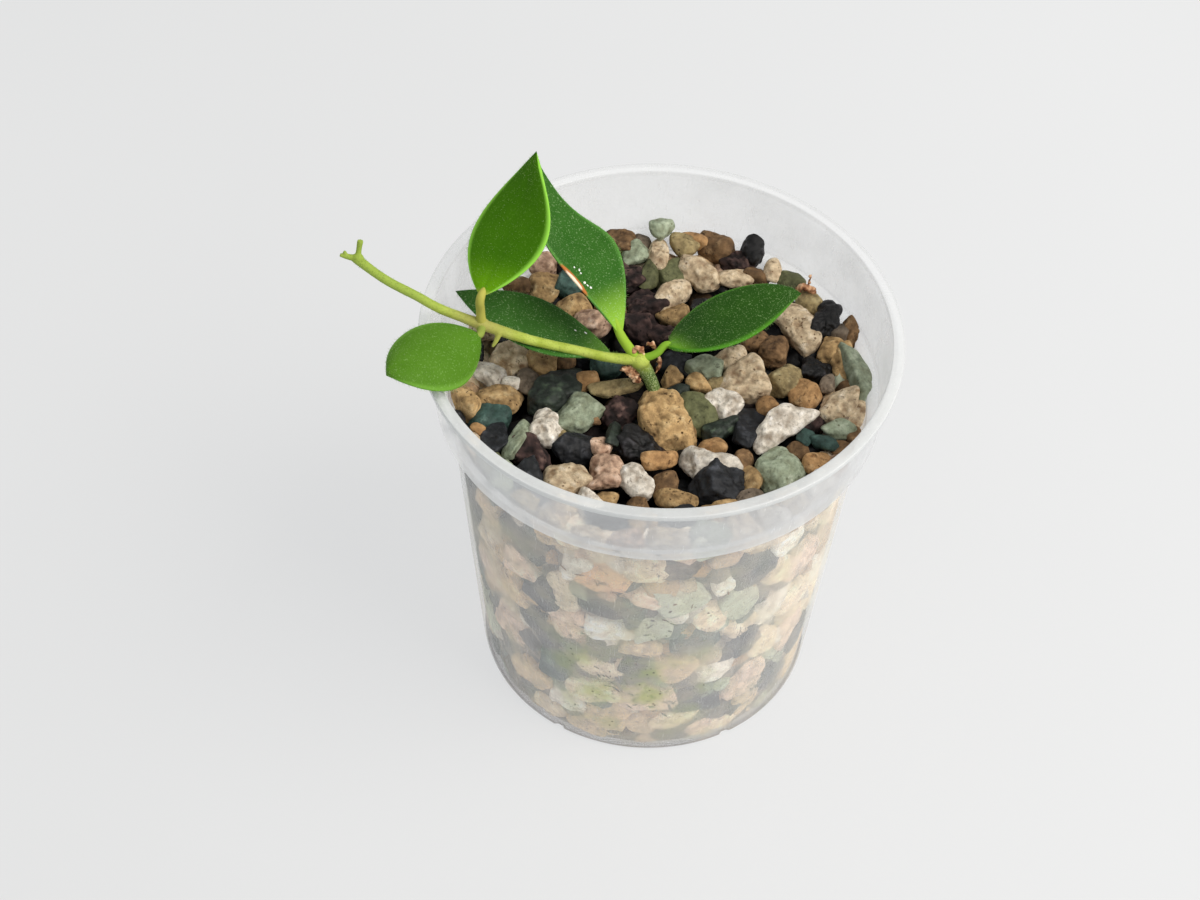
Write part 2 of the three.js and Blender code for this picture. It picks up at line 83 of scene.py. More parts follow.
def perMm(size):
    return 1 / (size * mm)  # texture scale that gives a pattern of this size in millimetres


def makeMottled(name, size, stops, finish, detail=2.0):
    # a dull surface mottled in a few colours, with blotches of this size in millimetres
    material = newMaterial(name)
    coords = addNode(material, "TexCoord")
    patches = addNode(material, "TexNoise", {"Scale": perMm(size), "Detail": detail},
                      {"Vector": coords.outputs["Object"]})
    tone = addNode(material, "ValToRGB", {"stops": stops}, {"Fac": patches.outputs["Fac"]})
    surface = addNode(material, "BsdfPrincipled", finish, {"Base Color": tone.outputs[0]})
    addNode(material, "OutputMaterial", {}, {"Surface": surface.outputs[0]})
    return material


def finishPiece(name, shape, material, nodes):
    bmesh.ops.scale(shape, vec=(mm, mm, mm), verts=shape.verts)
    bmesh.ops.recalc_face_normals(shape, faces=shape.faces)
    mesh = bpy.data.meshes.new(name)
    shape.to_mesh(mesh)
    shape.free()
    mesh.shade_smooth()
    mesh.materials.append(material)
    piece = bpy.data.objects.new(name, mesh)
    bpy.context.scene.collection.objects.link(piece)
    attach(piece, "root")
    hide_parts(*nodes)
    return piece


camera = {
    "lens": 74.2,
    "place": (-10.6, -316.1, 419.2),
    "down": 49.17,
    "roll": 2.1,
}
cameraData = bpy.data.cameras.new("camera")
cameraData.lens = camera["lens"]
cameraData.sensor_width = 36
cameraObject = bpy.data.objects.new("camera", cameraData)
bpy.context.scene.collection.objects.link(cameraObject)
cameraObject.matrix_world = (
    Matrix.Translation(Vector(camera["place"]) * mm)
    @ Matrix.Rotation(math.radians(90 - camera["down"]), 4, "X")
    @ Matrix.Rotation(math.radians(camera["roll"]), 4, "Z")
)
cameraData.clip_start = 0.01
bpy.context.scene.camera = cameraObject
print("camera placed")


# the pot: injection-moulded polypropylene, clear but milky
pot = {
    "height": 88.2, "rim": 45.0, "rimInner": 42.8, "rimThick": 1.2,
    "collarTop": 43.7, "collarFoot": 42.3, "collarFootHeight": 72.8,
    "bodyTop": 39.6, "bodyTopHeight": 70.3, "base": 33.8,
    "wall": 0.7, "floor": 0.7, "steps": 360, "rounding": 0.2,
    "grooves": 6, "grooveWidth": 2.3, "grooveHeight": 10.0, "grooveDepth": 0.45,
    "drains": 6, "drainRadius": 2.6, "drainRing": 21.0,
    # share of the light that one face of the plastic holds back: straight on and edge on, and what each
    # place and mark adds to it
    "veil": 0.19, "veilEdge": 0.31, "veilShoulder": 0.28, "veilCollar": 0.18, "veilRim": 0.28,
    "veilBackClearing": -0.15, "veilFoot": 0.5, "veilCrease": 0.25, "veilAlgae": 0.2, "veilScratch": 0.16,
    "veilDots": 0.4,
    # painted light: how far back the collar's haze is full and how far back it is least, and how much is left
    # there
    "hazeFullFrom": -20, "hazeLeastFrom": 15, "hazeBehind": 0.3,
    "algae": (-4, -34.5, 24),  # middle of the green patch inside the wall, and how far it reaches
    "algaeReach": 22,
    "wetTo": 62, "dryFrom": 74,  # heights up to which the wall is wet inside and from which it is dry
}


# corners of the inner wall from the floor up: radius, height
innerWall = [
    (pot["base"] - pot["wall"] - 0.6, pot["floor"]),
    (pot["base"] - pot["wall"] + 0.1, pot["floor"] + 0.7),
    (pot["bodyTop"] - pot["wall"], pot["bodyTopHeight"] + 0.6),
    (pot["bodyTop"] - pot["wall"] + 0.8, pot["bodyTopHeight"] + 2.3),
    (pot["collarFoot"] - pot["wall"], pot["collarFootHeight"] + pot["wall"]),
    (pot["collarTop"] - pot["wall"], pot["height"] - pot["rimThick"] - 0.4),
]


def potInside(height):
    # radius of the inner wall at a height
    for (lowRadius, low), (highRadius, high) in zip(innerWall, innerWall[1:]):
        if height < high:
            break
    return lowRadius + (highRadius - lowRadius) * (height - low) / (high - low)


def makePotPlastic():
    # polypropylene, moulded: a milky film with a soft gloss, denser where it is seen edge on, scratched
    # upright, with a yellowish bloom of dried water and green clouds and dark dots of algae behind it
    material = newMaterial("mouldedPolypropyleneMilky")
    coords = addNode(material, "TexCoord")
    place = {"Vector": coords.outputs["Object"]}
    cloud = addNode(material, "TexNoise", {"Scale": perMm(11), "Detail": 6.0, "Roughness": 0.6}, place)
    blots = addNode(material, "TexNoise", {"Scale": perMm(6.5), "Detail": 3.0}, place)
    scuff = addNode(material, "TexNoise", {"Scale": perMm(1.2), "Detail": 6.0, "Roughness": 0.7}, place)
    split = addNode(material, "SeparateXYZ", {}, {0: coords.outputs["Object"]})
    height = {"Value": split.outputs["Z"]}
    facing = addNode(material, "LayerWeight", {"Blend": 0.35})
    edge = addNode(material, "MapRange", {"range": (0, 1, pot["veil"], pot["veilEdge"])},
                   {"Value": facing.outputs["Facing"]})
    haze = addNode(material, "MapRange", {"range": (0.3, 0.7, 0.6, 1.4)}, {"Value": cloud.outputs["Fac"]})
    shoulder, overShoulder, rim, footDirtAndShadow = [
        addNode(material, "MapRange", {"range": (start * mm, end * mm)}, height)
        for start, end in ((pot["bodyTopHeight"] + 0.6, pot["bodyTopHeight"] + 1.1),
                           (pot["collarFootHeight"] - 0.1, pot["collarFootHeight"] + 0.8),
                           (pot["height"] - 1.6, pot["height"] - 1.1), (0.6, 0.3))
    ]
    # painted light: the collar and rim are hazier at the front and drawn clearer at the back, away from the
    # lamp
    paintedFrontHaze = addNode(material, "MapRange",
                    {"range": (pot["hazeLeastFrom"] * mm, pot["hazeFullFrom"] * mm, pot["hazeBehind"])},
                    {"Value": split.outputs["Y"]})
    # painted light: the back of the collar is drawn clearer still
    paintedBackClearing = addNode(material, "Math", {"operation": "SUBTRACT", 0: 1.0}, {1: paintedFrontHaze.outputs["Result"]})
    paintedBackClearing = addNode(material, "Math", {"operation": "MULTIPLY"},
                    {0: paintedBackClearing.outputs[0], 1: overShoulder.outputs["Result"]})
    shoulder, overShoulder, rim = [
        addNode(material, "Math", {"operation": "MULTIPLY"},
                {0: share.outputs["Result"], 1: paintedFrontHaze.outputs["Result"]})
        for share in (shoulder, overShoulder, rim)
    ]
    # fine upright scratches
    stretched = addNode(material, "Mapping", {"Scale": (1, 1, 0.08), "Rotation": (0, 0.15, 0)}, place)
    threads = addNode(material, "TexNoise", {"Scale": perMm(0.5), "Detail": 3.0, "Roughness": 0.7},
                      {"Vector": stretched.outputs[0]})
    scratch = addNode(material, "MapRange", {"range": (0.62, 0.72)}, {"Value": threads.outputs["Fac"]})
    # the crease where the body meets the shoulder, drawn as a denser grey line: painted shade
    fromStep = addNode(material, "Math", {"operation": "SUBTRACT", 1: (pot["bodyTopHeight"] + 0.2) * mm},
                       {0: split.outputs["Z"]})
    offStep = addNode(material, "Math", {"operation": "ABSOLUTE"}, {0: fromStep.outputs[0]})
    crease = addNode(material, "MapRange", {"range": (0.35 * mm, 0.2 * mm)}, {"Value": offStep.outputs[0]})
    fromPatch = addNode(material, "VectorMath",
                        {"operation": "DISTANCE", 1: [mm * value for value in pot["algae"]]},
                        {0: coords.outputs["Object"]})
    near = addNode(material, "MapRange",
                   {"range": (pot["algaeReach"] * mm, 0.3 * pot["algaeReach"] * mm, 0.15, 0.75)},
                   {"Value": fromPatch.outputs["Value"]})
    below = addNode(material, "MapRange", {"range": (pot["dryFrom"] * mm, pot["wetTo"] * mm)}, height)
    patchy = addNode(material, "MapRange", {"range": (0.42, 0.62)}, {"Value": blots.outputs["Fac"]})
    algae = addNode(material, "Math", {"operation": "MULTIPLY"},
                    {0: near.outputs["Result"], 1: patchy.outputs["Result"]})
    algae = addNode(material, "Math", {"operation": "MULTIPLY"},
                    {0: algae.outputs[0], 1: below.outputs["Result"]})
    # dark dots of dried algae among the green
    spots = addNode(material, "TexVoronoi", {"Scale": perMm(1.5), "Randomness": 1.0}, place)
    dots = addNode(material, "MapRange", {"range": (0.17, 0.12)}, {"Value": spots.outputs["Distance"]})
    dots = addNode(material, "Math", {"operation": "MULTIPLY", "use_clamp": True},
                   {0: dots.outputs["Result"], 1: algae.outputs[0]})
    dots = addNode(material, "Math", {"operation": "MULTIPLY", "use_clamp": True, 1: 3.0},
                   {0: dots.outputs[0]})
    bloom = addNode(material, "MapRange", {"range": (0.42, 0.62, 0, 0.6)}, {"Value": cloud.outputs["Fac"]})
    bloom = addNode(material, "Math", {"operation": "MULTIPLY"},
                    {0: bloom.outputs["Result"], 1: below.outputs["Result"]})
    alpha = addNode(material, "Math", {"operation": "MULTIPLY"},
                    {0: edge.outputs["Result"], 1: haze.outputs["Result"]})
    for share, amount in ((shoulder, pot["veilShoulder"]),
                          (overShoulder, pot["veilCollar"] - pot["veilShoulder"]), (rim, pot["veilRim"]),
                          (paintedBackClearing, pot["veilBackClearing"]), (footDirtAndShadow, pot["veilFoot"]), (crease, pot["veilCrease"]),
                          (algae, pot["veilAlgae"]), (scratch, pot["veilScratch"]),
                          (dots, pot["veilDots"])):
        alpha = addNode(material, "Math", {"operation": "MULTIPLY_ADD", "use_clamp": True, 1: amount},
                        {0: share.outputs[0], 2: alpha.outputs[0]})
    tone = addNode(material, "Mix", {"data_type": "RGBA", 6: hexColour("#f2f4f6"), 7: hexColour("#f6ebd6")},
                   {0: bloom.outputs[0]})
    # painted shade: the rim drawn greyer and a grey line at the crease; the foot darker, partly dirt and
    # partly painted contact shadow
    for share, code in ((algae, "#bed17c"), (rim, "#dcdfdf"), (crease, "#a3a49b"), (footDirtAndShadow, "#6b5850"),
                        (dots, "#2e3010")):
        tone = addNode(material, "Mix", {"data_type": "RGBA", 7: hexColour(code)},
                       {0: share.outputs[0], 6: tone.outputs[2]})
    bump = addNode(material, "Bump", {"Strength": 0.12, "Distance": 0.1 * mm},
                   {"Height": scuff.outputs["Fac"]})
    surface = addNode(material, "BsdfPrincipled", {"Roughness": 0.3, "IOR": 1.49},
                      {"Base Color": tone.outputs[2], "Alpha": alpha.outputs[0],
                       "Normal": bump.outputs["Normal"]})
    addNode(material, "OutputMaterial", {}, {"Surface": surface.outputs[0]})
    return material


def makePot():
    top = pot["height"]
    under = top - pot["rimThick"]
    step = pot["collarFootHeight"]
    slope = (pot["bodyTop"] - pot["base"]) / pot["bodyTopHeight"]
    profile = [
        (0, 0), (pot["base"] - 0.7, 0), (pot["base"], 0.7),
        (pot["base"] + slope * 9.6, 9.6), (pot["base"] + slope * pot["grooveHeight"], pot["grooveHeight"]),
        (pot["bodyTop"], pot["bodyTopHeight"]), (pot["bodyTop"] + 0.7, pot["bodyTopHeight"] + 1.3),
        (pot["collarFoot"], step), (pot["collarTop"], under), (pot["rim"], under), (pot["rim"], top),
        (pot["rimInner"], top), *reversed(innerWall), (0, pot["floor"]),
    ]
    shape = bmesh.new()
    verts = [shape.verts.new((radius, 0, height)) for radius, height in profile]
    edges = [shape.edges.new(pair) for pair in zip(verts, verts[1:])]
    bmesh.ops.spin(shape, geom=verts + edges, cent=(0, 0, 0), axis=(0, 0, 1), dvec=(0, 0, 0),
                   angle=math.tau, steps=pot["steps"], use_merge=True)
    bmesh.ops.remove_doubles(shape, verts=shape.verts, dist=0.001)
    sharp = [e for e in shape.edges if len(e.link_faces) == 2 and e.calc_face_angle() > math.radians(20)]
    bmesh.ops.bevel(shape, geom=sharp, offset=pot["rounding"], segments=2, profile=0.5,
                    affect="EDGES", material=-1, clamp_overlap=True)
    pressGrooves(shape)
    piece = finishPiece("clearPot", shape, makePotPlastic(), ["pot"])
    drill(piece)


def pressGrooves(shape):
    # shallow upright grooves round the foot of the outer wall
    halfAngle = pot["grooveWidth"] / 2 / pot["base"]
    for vert in shape.verts:
        radius = math.hypot(vert.co.x, vert.co.y)
        outer = radius >= potInside(vert.co.z) + 0.2 and radius > pot["base"] - 1.2
        if not outer or vert.co.z > pot["grooveHeight"] - 0.2:
            continue
        turn = math.atan2(vert.co.y, vert.co.x) * pot["grooves"] / math.tau
        away = abs(turn - round(turn)) * math.tau / pot["grooves"]
        if away < halfAngle:
            inward = 1 - pot["grooveDepth"] / radius
            vert.co.x *= inward
            vert.co.y *= inward


def drill(piece):
    # drain holes through the floor
    cutter = bmesh.new()
    for i in range(pot["drains"]):
        angle = (i + 0.5) / pot["drains"] * math.tau
        spot = pot["drainRing"] * Vector((math.cos(angle), math.sin(angle), 0))
        bmesh.ops.create_cone(cutter, cap_ends=True, segments=32, radius1=pot["drainRadius"],
                              radius2=pot["drainRadius"], depth=4 * pot["floor"],
                              matrix=Matrix.Translation(spot))
    bmesh.ops.scale(cutter, vec=(mm, mm, mm), verts=cutter.verts)
    mesh = bpy.data.meshes.new("drainCutter")
    cutter.to_mesh(mesh)
    cutter.free()
    tool = bpy.data.objects.new("drainCutter", mesh)
    bpy.context.scene.collection.objects.link(tool)
    cut = piece.modifiers.new("drains", "BOOLEAN")
    cut.object = tool
    cut.operation = "DIFFERENCE"
    cut.solver = "EXACT"
    applyModifiers(piece)
    bpy.data.objects.remove(tool)


def applyModifiers(piece):
    bpy.context.view_layer.update()
    finished = bpy.data.meshes.new_from_object(piece.evaluated_get(bpy.context.evaluated_depsgraph_get()))
    piece.modifiers.clear()
    old = piece.data
    piece.data = finished
    bpy.data.meshes.remove(old)
    finished.name = piece.name


makePot()
print("pot made")


# the gravel is broken pumice, lava, zeolite and slate, 4 to 12 mm. Each kind of stone has its colours,
# then its form: edge is how crisp its facets are, and lump, crag and pore are the heights of its swells,
# its crags and its pores in millimetres
stoneKinds = {
    "cream": {"main": "#d8c3a2", "light": "#fbf0dc", "dark": "#a3835c", "stainAndShade": "#6a4827", "stains": 0.85,
              "edge": 5, "lump": 0.9, "crag": 0.32, "pore": 0.3, "rough": 0.88},
    "white": {"main": "#e2dacc", "light": "#ffffff", "dark": "#b5a48e", "stainAndShade": "#75624b", "stains": 0.6,
              "edge": 6, "lump": 0.9, "crag": 0.34, "pore": 0.22, "rough": 0.85},
    "tan": {"main": "#bd9c6c", "light": "#e6cd9e", "dark": "#7c5a35", "stainAndShade": "#40280f", "stains": 0.95,
            "edge": 6, "lump": 1.0, "crag": 0.32, "pore": 0.32, "rough": 0.9},
    "orange": {"main": "#b0895c", "light": "#dfbb8b", "dark": "#75502d", "stainAndShade": "#4a2d13", "stains": 0.8,
               "edge": 5, "lump": 0.7, "crag": 0.24, "pore": 0.2, "rough": 0.88},
    "rusty": {"main": "#cf955a", "light": "#f0cb97", "dark": "#9a5720", "stainAndShade": "#84430e", "stains": 0.9,
              "edge": 5, "lump": 0.9, "crag": 0.3, "pore": 0.3, "rough": 0.88},
    "pink": {"main": "#cfae94", "light": "#f6e3d2", "dark": "#957059", "stainAndShade": "#64432f", "stains": 0.8,
             "edge": 7, "lump": 1.0, "crag": 0.38, "pore": 0.3, "rough": 0.9},
    "brown": {"main": "#806344", "light": "#bd9d73", "dark": "#45301d", "stainAndShade": "#22150b", "stains": 0.8,
              "edge": 5, "lump": 0.8, "crag": 0.28, "pore": 0.24, "rough": 0.88},
    "greyBrown": {"main": "#7d6f5f", "light": "#b8a992", "dark": "#453b30", "stainAndShade": "#2a2119", "stains": 0.7,
                  "edge": 6, "lump": 0.8, "crag": 0.24, "pore": 0.2, "rough": 0.85},
    "straw": {"main": "#a49268", "light": "#dacd9f", "dark": "#675634", "stainAndShade": "#463620", "stains": 0.8,
              "edge": 5, "lump": 0.9, "crag": 0.26, "pore": 0.26, "rough": 0.88},
    "olive": {"main": "#686a48", "light": "#9a9c70", "dark": "#363a20", "stainAndShade": "#23260f", "stains": 0.6,
              "edge": 9, "lump": 0.6, "crag": 0.2, "pore": 0.1, "rough": 0.75},
    "paleGreen": {"main": "#9ba68d", "light": "#d9dfc8", "dark": "#5f6c57", "stainAndShade": "#5d5a3c", "stains": 0.7,
                  "edge": 12, "lump": 0.6, "crag": 0.26, "pore": 0.14, "rough": 0.7},
    "teal": {"main": "#3b554e", "light": "#84a799", "dark": "#1b2b26", "stainAndShade": "#0f1916", "stains": 0.5,
             "edge": 14, "lump": 0.6, "crag": 0.22, "pore": 0.1, "rough": 0.6},
    "darkGreen": {"main": "#2c352d", "light": "#6f8268", "dark": "#141915", "stainAndShade": "#0a0d0b", "stains": 0.5,
                  "edge": 18, "lump": 0.8, "crag": 0.34, "pore": 0.12, "rough": 0.5},
    "slate": {"main": "#25272b", "light": "#5d6067", "dark": "#0e0f12", "stainAndShade": "#070708", "stains": 0.5,
              "edge": 18, "lump": 0.7, "crag": 0.36, "pore": 0.12, "rough": 0.55},
    "lava": {"main": "#453330", "light": "#84695f", "dark": "#190f0e", "stainAndShade": "#0b0606", "stains": 0.9,
             "edge": 6, "lump": 1.2, "crag": 0.6, "pore": 0.5, "rough": 0.85},
    "blackLava": {"main": "#181718", "light": "#514f54", "dark": "#060506", "stainAndShade": "#020202", "stains": 0.9,
                  "edge": 8, "lump": 1.2, "crag": 0.6, "pore": 0.45, "rough": 0.55},
}

# stones that show on top, as seen from above: kind, x, y, length, width, turn of the long side
# in degrees, and how far the top stands over the rest
topStones = [
    ("tan", 0.8, -8.5, 12.6, 10, 105, 1.0),
    ("cream", -16.5, -23.5, 10.8, 8.3, 20, 0.6),
    ("cream", -28.5, 6, 8.8, 7.4, 140, 0.6),
    ("tan", -22.5, 5, 8.8, 5.2, 110, 0.2),
    ("brown", -17.5, 6, 5.6, 4.2, 70, -0.4),
    ("white", -32, 1, 6.8, 4.8, 160, 0.2),
    ("white", -28, -0.8, 3.5, 3, 0, -0.6),
    ("greyBrown", -24.6, 0.2, 6.4, 5, 115, -0.2),
    ("tan", -36.5, -5, 9.3, 5.2, 112, 0.2),
    ("tan", -29.5, -4.7, 9.2, 6.2, 170, 0.4),
    ("teal", -31, -9.6, 7.8, 5.6, 10, -0.2),
    ("darkGreen", -19.5, -2.5, 13.2, 7.4, 46, 0.8),
    ("orange", -14, 0.6, 5, 4, 0, 0),
    ("straw", -8, -1.5, 9.8, 3.8, 8, 0.2),
    ("paleGreen", -15, -7.3, 10.2, 7, 62, 0.6),
    ("white", -21, -11.8, 8.6, 6.8, 75, 1.0),
    ("lava", -8, -6.3, 8.2, 6.2, 20, -0.4),
    ("paleGreen", -26, -15.3, 9.2, 4, 68, 0.6),
    ("slate", -30.2, -14.8, 6.8, 5.8, 120, -0.2),
    ("orange", -33.7, -13, 3.8, 3.2, 130, 0.2),
    ("lava", -23.2, -18.6, 8.2, 5.8, 130, -0.1),
    ("slate", -15.6, -16, 8.6, 5.8, 25, 0),
    ("straw", -18.5, -13.8, 4.8, 3.4, 0, -0.6),
    ("pink", -9.2, -22, 8.2, 6.4, 85, 0.5),
    ("pink", -10.8, -15.6, 5.2, 4.2, 150, -0.2),
    ("darkGreen", -8, -13.4, 7, 2.8, 80, 0.2),
    ("brown", -12.5, -9, 3.6, 3, 0, -0.8),
    ("blackLava", -3, -15.8, 9, 6.2, 175, -0.2),
    ("orange", 0.6, -19.3, 6.6, 4.2, 18, 0.5),
    ("white", -4, -24, 9, 5.8, 142, 0.4),
    ("brown", 2, -23.2, 5.4, 5, 90, -0.6),
    ("tan", -9, -28, 5, 3.6, 0, -0.8),
    ("brown", -3.4, -28.8, 4.4, 3.6, 0, -0.8),
    ("tan", 4.2, -27.6, 6.8, 4.6, 5, -0.3),
    ("tan", 12.8, -29, 5, 3.4, 5, -0.6),
    ("olive", 6.6, -5.8, 10.6, 7.6, 108, 0.6),
    ("darkGreen", 3.4, -1.8, 4.8, 4.2, 60, -0.6),
    ("white", 12.4, -4.8, 7.6, 5.8, 150, 0.6),
    ("cream", 17, 1.2, 9.6, 8.8, 0, 1.0),
    ("straw", 24.6, 3, 9, 6.4, 50, 0.8),
    ("orange", 27.8, -1, 8, 6.4, 60, 0.6),
    ("cream", 33.6, -3.8, 8, 7, 100, 0.6),
    ("white", 23, -10.2, 13.4, 5.6, 40, 1.4),
    ("orange", 21, -4.6, 5.6, 4.8, 160, 0),
    ("slate", 16.4, -10, 11, 5, 78, -0.1),
    ("darkGreen", 11.4, -10.8, 6.2, 4.4, 30, -0.2),
    ("orange", 10.6, -14.8, 6, 4.6, 165, 0),
    ("white", 8.6, -19.6, 10.8, 7.6, 130, 0.6),
    ("slate", 12.4, -24, 10.6, 8, 162, 0.8),
    ("brown", 15.6, -18, 5.2, 4.4, 90, -0.2),
    ("tan", 17.4, -22.6, 5.8, 4.4, 100, -0.4),
    ("paleGreen", 22.2, -20.2, 10, 8.6, 60, 0.8),
    ("brown", 26.2, -15.2, 5.4, 4.8, 120, -0.4),
    ("orange", 29.8, -18, 7, 4.6, 28, 0.2),
    ("paleGreen", 34, -9.8, 6, 4.2, 15, 0.4),
    ("teal", 31, -13.2, 5.4, 3.2, 150, 0),
    ("brown", 34.2, -13.6, 4.4, 3.4, 20, -0.6),
    ("brown", 36.8, -10.6, 4.4, 3.4, 60, -0.8),
    ("cream", 37.6, -5.4, 8.8, 4.4, 72, 0),
    ("greyBrown", 32, 1.6, 4, 3.4, 90, 0),
    ("tan", 35.4, 7, 8.2, 5.6, 112, 0.2),
    ("paleGreen", 38.2, 3.2, 11.6, 5.2, 104, 0.8),
    ("blackLava", 30, 5.6, 6.8, 5.8, 70, -0.2),
    ("cream", 14.2, 7.8, 7.2, 6.4, 30, 0.4),
    ("paleGreen", 8.6, 5.2, 6.8, 5.2, 0, 0.4),
    ("tan", 7.2, 1.8, 4.4, 3.6, 100, -0.4),
    ("tan", 2.6, 1.8, 5.4, 4.2, 40, 0),
    ("straw", 11, 1.2, 4.2, 4, 60, -0.2),
    ("orange", 12.6, -0.6, 4.2, 3.2, 0, -0.6),
    ("lava", 28.6, -8, 5, 4.6, 0, -0.8),
    ("teal", 27.6, -11.6, 3.8, 3.2, 40, -0.4),
    ("brown", 36, 1.6, 4.4, 3.6, 0, -0.8),
    ("brown", 22, 10.8, 8.6, 7, 80, 0.4),
    ("cream", 27.4, 16.6, 12.2, 7.6, 122, 1.2),
    ("straw", 29.4, 23, 7.6, 4.8, 125, 0.2),
    ("blackLava", 32.6, 18.4, 9.2, 5.2, 75, 1.6),
    ("brown", 38.3, 14.6, 7.6, 5.8, 115, 1.0),
    ("greyBrown", 35.2, 15.4, 5.8, 4.4, 60, 0),
    ("tan", 33.2, 11.2, 6.8, 5.2, 60, 0.2),
    ("brown", 19, 13.6, 6.4, 5.2, 30, -0.6),
    ("paleGreen", -0.4, 38.6, 5.4, 4.6, 60, 4.0),
    ("brown", -7.4, 37.8, 6.8, 5.8, 0, 1.0),
    ("cream", -0.4, 34.4, 8.8, 4.7, 96, 1.4),
    ("straw", 4, 37.2, 7.8, 4.6, 125, 1.2),
    ("orange", 6.6, 38.8, 7.8, 4.2, 165, 1.0),
    ("brown", 11.2, 36.8, 7.8, 6.4, 160, 1.4),
    ("blackLava", 18.4, 36, 7.6, 5, 75, 2.4),
    ("lava", 16, 33.2, 7.2, 6, 30, 0.8),
    ("paleGreen", -5, 34.6, 5.6, 4.6, 20, 0.6),
    ("greyBrown", -3.6, 37.6, 4.8, 4, 90, 0.2),
    ("tan", -11, 37.6, 5.2, 4.2, 0, 0),
    ("cream", 8, 30.2, 10.2, 7.8, 132, 1.2),
    ("olive", 2.6, 31, 6.8, 6, 30, 0),
    ("lava", -4.8, 28.4, 7.2, 5.2, 80, 0.2),
    ("lava", -3.8, 21.4, 7.6, 6.6, 40, 0),
    ("olive", -2, 29.2, 8, 3.6, 80, 0),
    ("cream", 2, 23.4, 10.6, 5, 47, 0.8),
    ("tan", 3.2, 19, 6.2, 5.2, 30, -0.2),
    ("brown", 19.2, 30.4, 5.8, 4.8, 0, 0),
    ("cream", 15, 28.8, 8.2, 4.8, 170, 0.6),
    ("cream", 22.2, 31, 6.4, 3.8, 80, 0.6),
    ("olive", 26, 28.4, 7.2, 5.4, 150, 0.8),
    ("lava", 2, 13.6, 7.8, 6.8, 0, -0.6),
    ("lava", -3, 15.6, 7.8, 6.8, 0, -0.6),
    ("slate", 9, 14, 6.8, 5.8, 0, -0.8),
    ("slate", 3, 7, 6.3, 5.8, 0, -1.0),
    ("teal", -10, 4.4, 6.2, 4.8, 20, -0.2),
    ("slate", -14.4, 8, 6.8, 5.8, 0, -0.6),
    ("blackLava", 10, 21, 7.8, 5.8, 0, -0.8),
    ("pink", -23, 31.4, 6.8, 5.8, 0, 0.4),
    ("brown", -28.4, 25.4, 6.3, 4.8, 0, 0),
    ("tan", -22.6, 25.4, 7.4, 6.4, 80, 0.2),
    ("teal", -18.4, 26.6, 6.8, 5.4, 80, 0),
    ("tan", -16.4, 20, 6.4, 5.2, 20, 0),
    ("pink", -13.4, 16.8, 6.8, 5.4, 150, 0),
    ("slate", -17, 31, 6.8, 5.8, 0, 0),
    ("brown", -12, 26, 6.8, 5.8, 20, -0.2),
    ("lava", -9, 31.5, 6.8, 5.8, 0, 0.2),
    ("brown", -9.5, 20.5, 6.4, 5.4, 0, -0.4),
    ("tan", -29, 18, 7.3, 5.8, 0, 0),
    ("cream", -34, 13.5, 7.8, 5.8, 100, 0.2),
    ("slate", -36, 7, 6.8, 5.2, 100, 0),
    ("brown", -23, 14.5, 6.8, 5.8, 0, -0.2),
    ("slate", -29.5, 12.6, 6.4, 5.2, 0, -0.2),
    ("slate", -38, -11, 6.5, 5, 110, -0.2),
    ("cream", -34, -17.8, 7, 5, 120, 0),
    ("olive", -30.5, -20.5, 7, 5, 125, -0.2),
    ("paleGreen", -28, -24.6, 7.5, 5.2, 60, 0),
    ("slate", -23.6, -25.4, 7.5, 5.6, 120, -0.2),
    ("straw", -24, -30.2, 7, 5.6, 60, 0),
    ("cream", -17.4, -31.4, 8, 6.4, 30, 0.2),
    ("white", -12.2, -30.4, 6.5, 5, 80, -0.2),
    ("cream", -12.8, -37, 7.6, 6, 100, 0),
    ("slate", -7.6, -33, 7, 5.4, 20, -0.3),
    ("pink", -5.8, -38, 6.4, 5.2, 10, 0),
    ("tan", -2, -33.6, 6.5, 5.4, 40, -0.2),
    ("cream", 2.6, -37.4, 8, 6, 0, 0.2),
    ("slate", 4, -32.4, 6, 5, 30, -0.4),
    ("paleGreen", 9.6, -36, 8, 6, 160, 0.2),
    ("tan", 9.8, -31.2, 6, 4.8, 20, -0.4),
    ("cream", 16, -34, 8, 6.4, 150, 0.2),
    ("greyBrown", 17.6, -28.4, 7, 5.4, 40, -0.2),
    ("white", 22, -31.6, 7, 5.4, 135, 0.2),
    ("cream", 25.4, -26.8, 8, 6.4, 140, 0.2),
    ("white", 30.2, -24.2, 7.6, 6, 130, 0.2),
    ("pink", 33.6, -18.8, 7, 5.4, 115, 0),
]

